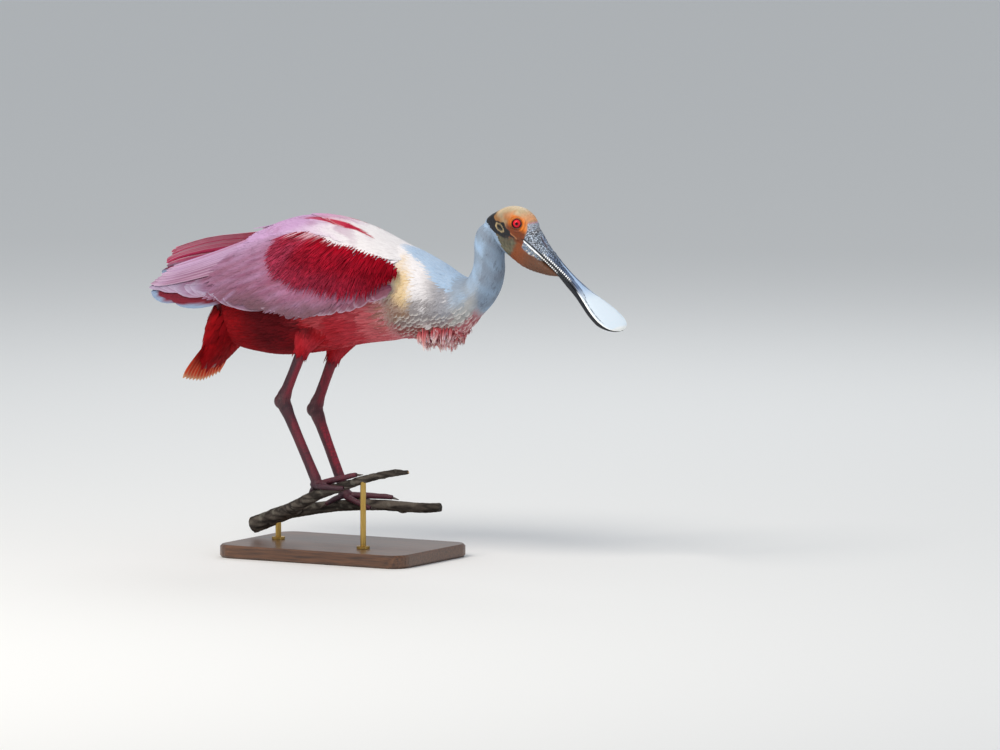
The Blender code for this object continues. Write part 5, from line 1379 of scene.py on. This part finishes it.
def breastTuft():
    # long loose feathers hang in locks from the lower breast
    locks, perLock = 190, 9
    lockU = draw.uniform(7.45, 9.05, locks)
    lockV = 270 + draw.uniform(-1, 1, locks) * np.interp(lockU, [7.5, 8.0, 8.6, 9.0], [44, 56, 54, 36])
    which = np.repeat(np.arange(locks), perLock)
    count = len(which)
    u = lockU[which] + draw.normal(0, 0.05, count)
    v = lockV[which] + draw.normal(0, 2.5, count)
    place, normal, _, _ = bodySurface.frame(u, v)
    top, topNormal, _, _ = bodySurface.frame(lockU, lockV)
    hem = np.interp(lockU, [7.4, 7.6, 7.9, 8.1, 8.25, 8.45, 8.7, 8.9, 9.1], [280, 264, 256, 265, 257, 255, 262, 274, 286])
    drop = np.minimum((top[:, 2] - hem * mm) * draw.uniform(0.5, 1.0, locks), draw.uniform(0.006, 0.028, locks))
    lean = np.stack([np.interp(lockU, [7.5, 8.3, 9.4], [0.3, 0.0, -0.2]), 0.05 * topNormal[:, 1], -np.ones(locks)], -1)
    ends = top + topNormal * 0.0012 + (lean + draw.normal(0, 0.1, (locks, 3))) * drop[:, None]
    tip = ends[which] + draw.normal(0, 0.0007, (count, 3)) + (place - top[which]) * 0.35
    tip[:, 2] += 0.35 * drop[which] * draw.uniform(0, 1, count) ** 2
    shares = np.array([row[0] for row in outlines["tuft"]])
    start = place - normal * 0.0008
    line = start[:, None] + (tip - start)[:, None] * shares[:, None]
    line = line + normal[:, None] * (0.0018 * np.sin(np.pi * shares))[:, None]
    lie = (tip - start) / np.maximum(np.linalg.norm(tip - start, axis=-1, keepdims=True), 1e-9)
    flat = np.cross(lie, normal + draw.normal(0, 0.35, (count, 3)))
    flat /= np.maximum(np.linalg.norm(flat, axis=-1, keepdims=True), 1e-9)
    out = np.cross(flat, lie)
    spot = np.stack([(v / 360) % 1, u / 17.2], -1)
    tuft = blades(line, np.broadcast_to(out[:, None], line.shape), np.broadcast_to(-flat[:, None], line.shape),
                  0.00085 * draw.uniform(0.7, 1.2, count), "tuft", "tuft", 0.0002, lambda s, k: 0 * s * k, 0.0006, spot)
    c = plumage
    own = bodyTint(tuft["root"])[:, None, None]
    rosy = mixed(c["rose"], c["roseLight"], tuft["chance"])
    rosy = mixed(own + 0 * rosy, rosy, smoothStep(-0.2, 0.4, tuft["s"]))
    pale = mixed(c["palePink"], c["cream"], tuft["chance"])
    tuft["tint"] = mixed(rosy, pale, smoothStep(0.4, 0.95, tuft["s"]) * (0.4 + 0.6 * (tuft["chance"] < 0.7)))
    featherPiece("breast_tuft", [tuft], softDown)


tailCoat()
thighCoat(-1)
thighCoat(1)
breastTuft()


# Bill, eyes and claws.
bill = {"columns": 112, "rows": 270, "grooveIn": 2.3, "grooveDeep": 0.35}
horn = {name: linear(value) for name, value in {
    "grey": "#A2AFC0", "pale": "#96AECC", "dark": "#182030", "slate": "#44587A", "white": "#EEF0F0", "blueGrey": "#7E90AC",
    "black": "#0C1018", "cream": "#F1E8D6", "buff": "#A8968A", "nostril": "#5A3430", "spoon": "#CEDAE4",
}.items()}


def billRelief(x, w, half, top):
    # how far the horn stands out at x, and w from -1 to 1 across
    p = np.stack([x, w * half, 0 * x], -1)
    inward = half * (1 - np.abs(w))
    knobs = smoothStep(62, 12, x)
    lift = 0.32 * knobs * ripple(p, 4.2, 4) + 0.16 * ripple(p, 2.0, 5) * (0.2 + knobs)
    lift = lift + 0.35 * top * gauss(w, 0.22) * smoothStep(12, 30, x) * smoothStep(110, 80, x)
    lift = lift - 0.45 * top * gauss(np.abs(w) - 0.36, 0.07) * smoothStep(20, 32, x) * smoothStep(112, 90, x)
    lift = lift - bill["grooveDeep"] * gauss(inward - bill["grooveIn"], 0.6) * smoothStep(70, 90, x)
    lift = lift + 0.25 * gauss(inward - 0.9, 0.7) * smoothStep(60, 90, x)
    return lift + 0.5 * gauss(x - 159, 2.0) * gauss(w, 0.6) * top


def fromNostril(x, y):
    return np.hypot(np.maximum(np.abs(x - 17) - 6.5, 0), np.abs(y) - 3.4)


def billPoint(upper):
    def place(share, angle):
        x = -3 + 164 * share
        height, depth, half = smoothRows(billRows, x)
        end = np.sqrt(np.clip(1 - np.clip((x - 154.5) / 6.6, 0, 1) ** 2, 0.0004, 1))
        wide = half * end**0.35
        reach = (height if upper else -depth) * end
        crown = 0.62 + 0.38 * smoothStep(8, 11, height)
        if not upper:
            # the lower half stands a little proud of the upper one, with a steep side
            wide = wide + 0.5 * smoothStep(46, 80, x) * smoothStep(160, 146, x)
            reach = reach - 3.2 * smoothStep(46, 80, x) * smoothStep(160, 140, x)
            crown = crown - 0.36 * smoothStep(30, 60, x)
        turn = np.radians(angle)
        arch = np.where(angle < 180, np.abs(np.sin(turn)), 0.0)
        w = np.cos(turn)
        z = reach * arch**crown
        lift = billRelief(x, w, wide, 1.0 if upper else 0.0) * smoothStep(0, 0.25, arch)
        if upper:
            lift = lift - 1.1 * gauss(fromNostril(x, wide * w), 0.6)
        z = z + lift * np.sign(reach) * 0.9
        y = wide * w + lift * w * 0.4
        slant = 0.5 * smoothStep(10, -3, x)
        return headToScene(np.stack([x - slant * z, y, z + (0.3 if upper else -0.3)], -1))
    return place


def billTint(p, upper):
    # colour, and where the horn is rough
    x, z = p[..., 0], p[..., 2]
    half = smoothRows(billRows, x)[2]
    w = np.clip(np.abs(p[..., 1]) / half, 0, 1)
    inward = np.hypot(half * (1 - w), z)  # distance from the mouth line over the horn
    h = horn
    wavy = ripple(p, 7, 1)
    beads = smoothStep(-0.3, 0.1, np.sin(x * 2.2 + 0.8 * wavy)) * smoothStep(24, 30, x) * smoothStep(78, 70, x)
    if upper:
        colour = mixed(h["grey"], h["blueGrey"], smoothStep(-0.5, 0.7, wavy))
        colour = mixed(colour, h["buff"], 0.4 * smoothStep(20, -2, x) * smoothStep(-0.4, 0.6, ripple(p, 6, 3)))
        paleWidth = np.interp(x, [20, 48, 62, 78, 94, 104, 118], [0.0, 0.12, 0.22, 0.36, 0.56, 0.72, 1.3])
        over = smoothStep(-0.06, 0.06, w - paleWidth + 0.05 * ripple(p, 5, 2))
        tone = mixed(h["blueGrey"], h["slate"], smoothStep(24, 50, x))
        colour = mixed(colour, tone, 0.85 * over * smoothStep(20, 44, x))
        # pale blue-grey along the culmen: the horn's paler ridge, partly a painted highlight
        colour = mixed(colour, h["pale"], (1 - over) * smoothStep(30, 50, x))
        colour = mixed(colour, h["spoon"], smoothStep(86, 112, x))
        line = gauss(w - paleWidth, 0.06) * smoothStep(28, 40, x) * smoothStep(116, 100, x)
        line = np.maximum(line, gauss(inward - 3.7, 0.7) * smoothStep(98, 110, x) * smoothStep(150, 138, x))
        dashes = 0.45 + 0.55 * smoothStep(-0.3, 0.3, ripple(p, 3, 6))
        colour = mixed(colour, h["dark"], 0.9 * line * dashes)
        band = smoothStep(4.6, 3.8, inward) * smoothStep(1.9, 2.5, inward)
        colour = mixed(colour, h["dark"], 0.9 * band * smoothStep(20, 28, x) * smoothStep(92, 80, x))
        colour = mixed(colour, h["white"], band * beads)
        colour = mixed(colour, h["black"], smoothStep(2.4, 1.9, inward) * smoothStep(98, 88, x))
        colour = mixed(colour, h["white"], smoothStep(1.7, 1.1, inward) * smoothStep(88, 100, x))
        colour = mixed(colour, h["cream"], smoothStep(155, 159, x) * 0.5)
        slit = fromNostril(x, p[..., 1])
        colour = mixed(colour, h["nostril"], 0.8 * gauss(slit, 1.3))
        colour = mixed(colour, h["black"], gauss(slit, 0.7))
        rough = smoothStep(84, 50, x) * smoothStep(3.8, 4.8, inward) * (1 - smoothStep(40, 52, x) * (1 - over))
        return colour, np.maximum(rough, smoothStep(30, 22, x) * smoothStep(1.9, 2.6, inward)) * (1 - gauss(slit, 1.3))
    colour = mixed(h["grey"], h["white"], smoothStep(-0.2, 0.7, wavy) * 0.6)
    colour = mixed(colour, h["black"], smoothStep(22, 34, x))
    rim = smoothStep(2.9, 2.3, inward) * smoothStep(0.5, 0.9, inward)
    colour = mixed(colour, h["black"], smoothStep(3.2, 2.6, inward) * smoothStep(18, 26, x))
    colour = mixed(colour, h["white"], rim * np.maximum(smoothStep(30, 26, x), beads))
    return colour, smoothStep(40, 26, x) * smoothStep(2.6, 3.2, inward)


def makeBill(upper):
    name = "bill_upper" if upper else "bill_lower"
    piece = rolledGrid(name + "_horn", bill["columns"], bill["rows"], billPoint(upper))
    tint, rough = billTint(sceneToHead(pointsOf(piece)), upper)
    setColour(piece, "tint", tint)
    knobby = piece.data.attributes.new("knobby", "FLOAT", "POINT")
    knobby.data.foreach_set("value", rough.astype(np.float32))
    smoothShaded(piece, 50)
    piece.data.materials.append(hornFinish)
    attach(piece, "root")
    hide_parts(name)


def makeEye(side):
    deselectAll()
    bpy.ops.mesh.primitive_uv_sphere_add(segments=64, ring_count=48, radius=1)
    piece = bpy.context.object
    piece.name = f"eyeball_{sideNames[side]}"
    axis = np.array((0.208, 0.978 * side, 0.0))
    centre = eyePlace * (1, side, 1) - axis * 1.3
    out = pointsOf(piece)
    gaze = np.array((0.27, 0.93 * side, 0.25))
    facing = out @ gaze
    aside = np.sqrt(np.maximum(1 - facing**2, 0)) * 6.2
    local = centre + out * (6.2 + 0.35 * gauss(aside * (facing > 0) + 9 * (facing <= 0), 3.6))[:, None]
    setPoints(piece, headToScene(local))
    around = np.arctan2(out[:, 2] - 0.25 * facing, out @ np.array((0.96, -0.28 * side, 0)))
    streak = 0.5 + 0.5 * np.sin(around * 23 + 3 * np.sin(around * 7))
    iris = mixed(linear("#B00818"), linear("#EE1E36"), smoothStep(1.6, 3.0, aside + 0.6 * (streak - 0.5)))
    colour = mixed(iris, linear("#7A0614"), smoothStep(4.3, 4.8, aside))
    colour = mixed(linear("#020203"), colour, smoothStep(1.5, 1.9, aside))
    colour = mixed(colour, linear("#1A0A12"), smoothStep(4.8, 5.2, aside))
    colour = np.where(facing[:, None] > 0, colour, linear("#1A0A12"))
    setColour(piece, "tint", colour)
    smoothShaded(piece)
    piece.data.materials.append(eyeFinish)
    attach(piece, "root")
    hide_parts(f"eye_{sideNames[side]}")


def makeClaws():
    for side in (-1, 1):
        names = [f"claw_{sideNames[side]}_{toe}" for toe in ("middle", "outer", "inner", "hind")]
        piece = copyOf(names, f"claws_{sideNames[side]}")
        useModifier(piece, "SUBSURF", {"levels": 2, "render_levels": 2})
        setColour(piece, "tint", mixed(linear("#2B211F"), linear("#4A3C36"), 0.5 + 0.5 * ripple(inModel(pointsOf(piece)), 4, 1)))
        smoothShaded(piece)
        piece.data.materials.append(clawFinish)
        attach(piece, "root")
        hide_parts(*names)


def wornHorn(tree, place, colour, height):
    # towards the face the horn is old and lumpy, with dark cracks that run between the lumps
    knobby = addNode(tree, "Attribute", {"attribute_name": "knobby"})
    bent = addNode(
        tree, "TexNoise", {"Scale": 1 / (2.8 * mm), "Detail": 3.0}, {"Vector": place.outputs["Object"]})
    shifted = addNode(
        tree, "VectorMath", {"operation": "MULTIPLY_ADD", 1: (2.6 * mm,) * 3},
        {0: bent.outputs["Color"], 2: place.outputs["Object"]})
    lumps = addNode(
        tree, "TexVoronoi", {"feature": "DISTANCE_TO_EDGE", "Scale": 1 / (2.4 * mm)},
        {"Vector": shifted.outputs["Vector"]})
    lump = addNode(tree, "MapRange", {"From Min": 0.03, "From Max": 0.26}, {"Value": lumps.outputs["Distance"]})
    whole = addNode(
        tree, "MapRange", {"To Min": 1.0}, {"Value": knobby.outputs["Fac"], "To Max": lump.outputs["Result"]})
    shade = addNode(tree, "MapRange", {"To Min": 0.07, "To Max": 1.5}, {"Value": whole.outputs["Result"]})
    shaded = addNode(
        tree, "VectorMath", {"operation": "SCALE"}, {0: colour, "Scale": shade.outputs["Result"]})
    raised = addNode(tree, "Math", {"operation": "MULTIPLY_ADD", 1: 0.25}, {0: height, 2: whole.outputs["Result"]})
    return shaded.outputs["Vector"], raised.outputs["Value"]


# keratin horn of the bill, worn and slightly waxy: dull gloss, cracked and lumpy near the face
hornFinish = painted("bill horn", {"Roughness": 0.42, "Specular IOR Level": 0.5}, 0.9, 0.35, 0.07, wornHorn)
# glass eye of a mounted bird: painted iris under clear glass, hard small highlight
eyeFinish = painted("glass eye", {
    "Roughness": 0.3, "Specular IOR Level": 0.1, "Coat Weight": 0.4, "Coat Roughness": 0.02}, 0.8, 0.01, 0.04)
# claw keratin, dark and polished by use
clawFinish = painted("claw keratin", {"Roughness": 0.35}, 0.8, 0.05, 0.1)
makeBill(True)
makeBill(False)
makeEye(-1)
makeEye(1)
makeClaws()


# Perch and stand.
perch = {"voxel": 0.0013, "furrow": 0.55, "grain": 0.18}


def makePerch():
    piece = copyOf(["perch_limb", "perch_branch"], "perch_bark")
    useModifier(piece, "REMESH", {"mode": "VOXEL", "voxel_size": perch["voxel"]})
    useModifier(piece, "SMOOTH", {"factor": 0.5, "iterations": 2})
    points, out = pointsOf(piece), normalsOf(piece)
    p = inModel(points)
    cut = np.abs(out[:, 0]) > 0.86
    ends = (p[:, 0] < -190) | (p[:, 2] > 108)
    cutFace = cut & ends
    furrow = np.abs(ripple(p * (0.25, 1, 1), 5.5, 3))
    lift = -perch["furrow"] * (1 - smoothStep(0.0, 0.4, furrow)) + perch["grain"] * ripple(p * (0.5, 1, 1), 2.6, 5)
    setPoints(piece, points + out * (np.where(cutFace, 0.0, lift) * mm)[:, None])
    b = [linear(value) for value in ("#292522", "#433D38", "#6A635B", "#8A897E")]
    colour = mixed(b[0], b[1], smoothStep(0.0, 0.5, furrow))
    colour = mixed(colour, b[2], 0.6 * smoothStep(0.5, 1.1, furrow + 0.3 * ripple(p, 9, 2)))
    colour = mixed(colour, b[3], 0.25 * smoothStep(0.6, 1.2, ripple(p, 7, 6)))
    rings = 0.5 + 0.5 * np.sin(np.hypot(p[:, 1], p[:, 2] - 31) * 2.6)
    colour = np.where(cutFace[:, None], mixed(linear("#C7A67A"), linear("#A8825A"), rings), colour)
    setColour(piece, "tint", colour)
    smoothShaded(piece)
    piece.data.materials.append(barkFinish)
    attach(piece, "root")
    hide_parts("perch_limb", "perch_branch")
    print(f"perch: {len(piece.data.loops) - 2 * len(piece.data.polygons)} triangles")


def woodFinish():
    # beech board, sanded and stained brown under satin lacquer: straight fine grain along its length
    material, tree, shader = newMaterial("stained beech, satin lacquer", {
        "Roughness": 0.38, "Coat Weight": 0.35, "Coat Roughness": 0.2})
    place = addNode(tree, "TexCoord")
    along = addNode(tree, "Mapping", {"Scale": (0.06, 1.0, 1.0)}, {"Vector": place.outputs["Object"]})
    grain = addNode(
        tree, "TexNoise", {"Scale": 1 / (2.4 * mm), "Detail": 5.0, "Roughness": 0.62}, {"Vector": along.outputs["Vector"]})
    ramp = addNode(
        tree, "ValToRGB", {"stops": [(0.32, "#3A2418"), (0.5, "#5A3A26"), (0.72, "#744C32")]}, {"Fac": grain.outputs["Fac"]})
    raised = addNode(tree, "Bump", {"Strength": 0.4, "Distance": 0.08 * mm}, {"Height": grain.outputs["Fac"]})
    tree.links.new(ramp.outputs["Color"], shader.inputs["Base Color"])
    tree.links.new(raised.outputs["Normal"], shader.inputs["Normal"])
    return material


def brassFinish():
    # drawn brass rod, brushed lengthways and lacquered: warm, with soft vertical streaks
    material, tree, shader = newMaterial("brushed brass", {"Metallic": 1.0, "Roughness": 0.3})
    place = addNode(tree, "TexCoord")
    along = addNode(tree, "Mapping", {"Scale": (1.0, 1.0, 0.03)}, {"Vector": place.outputs["Object"]})
    brushed = addNode(tree, "TexNoise", {"Scale": 1 / (0.4 * mm), "Detail": 3.0}, {"Vector": along.outputs["Vector"]})
    ramp = addNode(tree, "ValToRGB", {"stops": [(0.3, "#A8853F"), (0.7, "#D0B068")]}, {"Fac": brushed.outputs["Fac"]})
    rough = addNode(tree, "MapRange", {"To Min": 0.24, "To Max": 0.42}, {"Value": brushed.outputs["Fac"]})
    tree.links.new(ramp.outputs["Color"], shader.inputs["Base Color"])
    tree.links.new(rough.outputs["Result"], shader.inputs["Roughness"])
    return material


def makeStand():
    wood, brass = woodFinish(), brassFinish()
    for name, finish in (("stand_base", wood), ("stand_rod_back", brass), ("stand_rod_front", brass)):
        nodes[name].data.materials.clear()
        nodes[name].data.materials.append(finish)


# dead limb with its bark on: dull, furrowed lengthways, lichen grey in places
barkFinish = painted("weathered bark", {"Roughness": 0.88, "Specular IOR Level": 0.2}, 1.4, 0.5, 0.22)
makePerch()
makeStand()
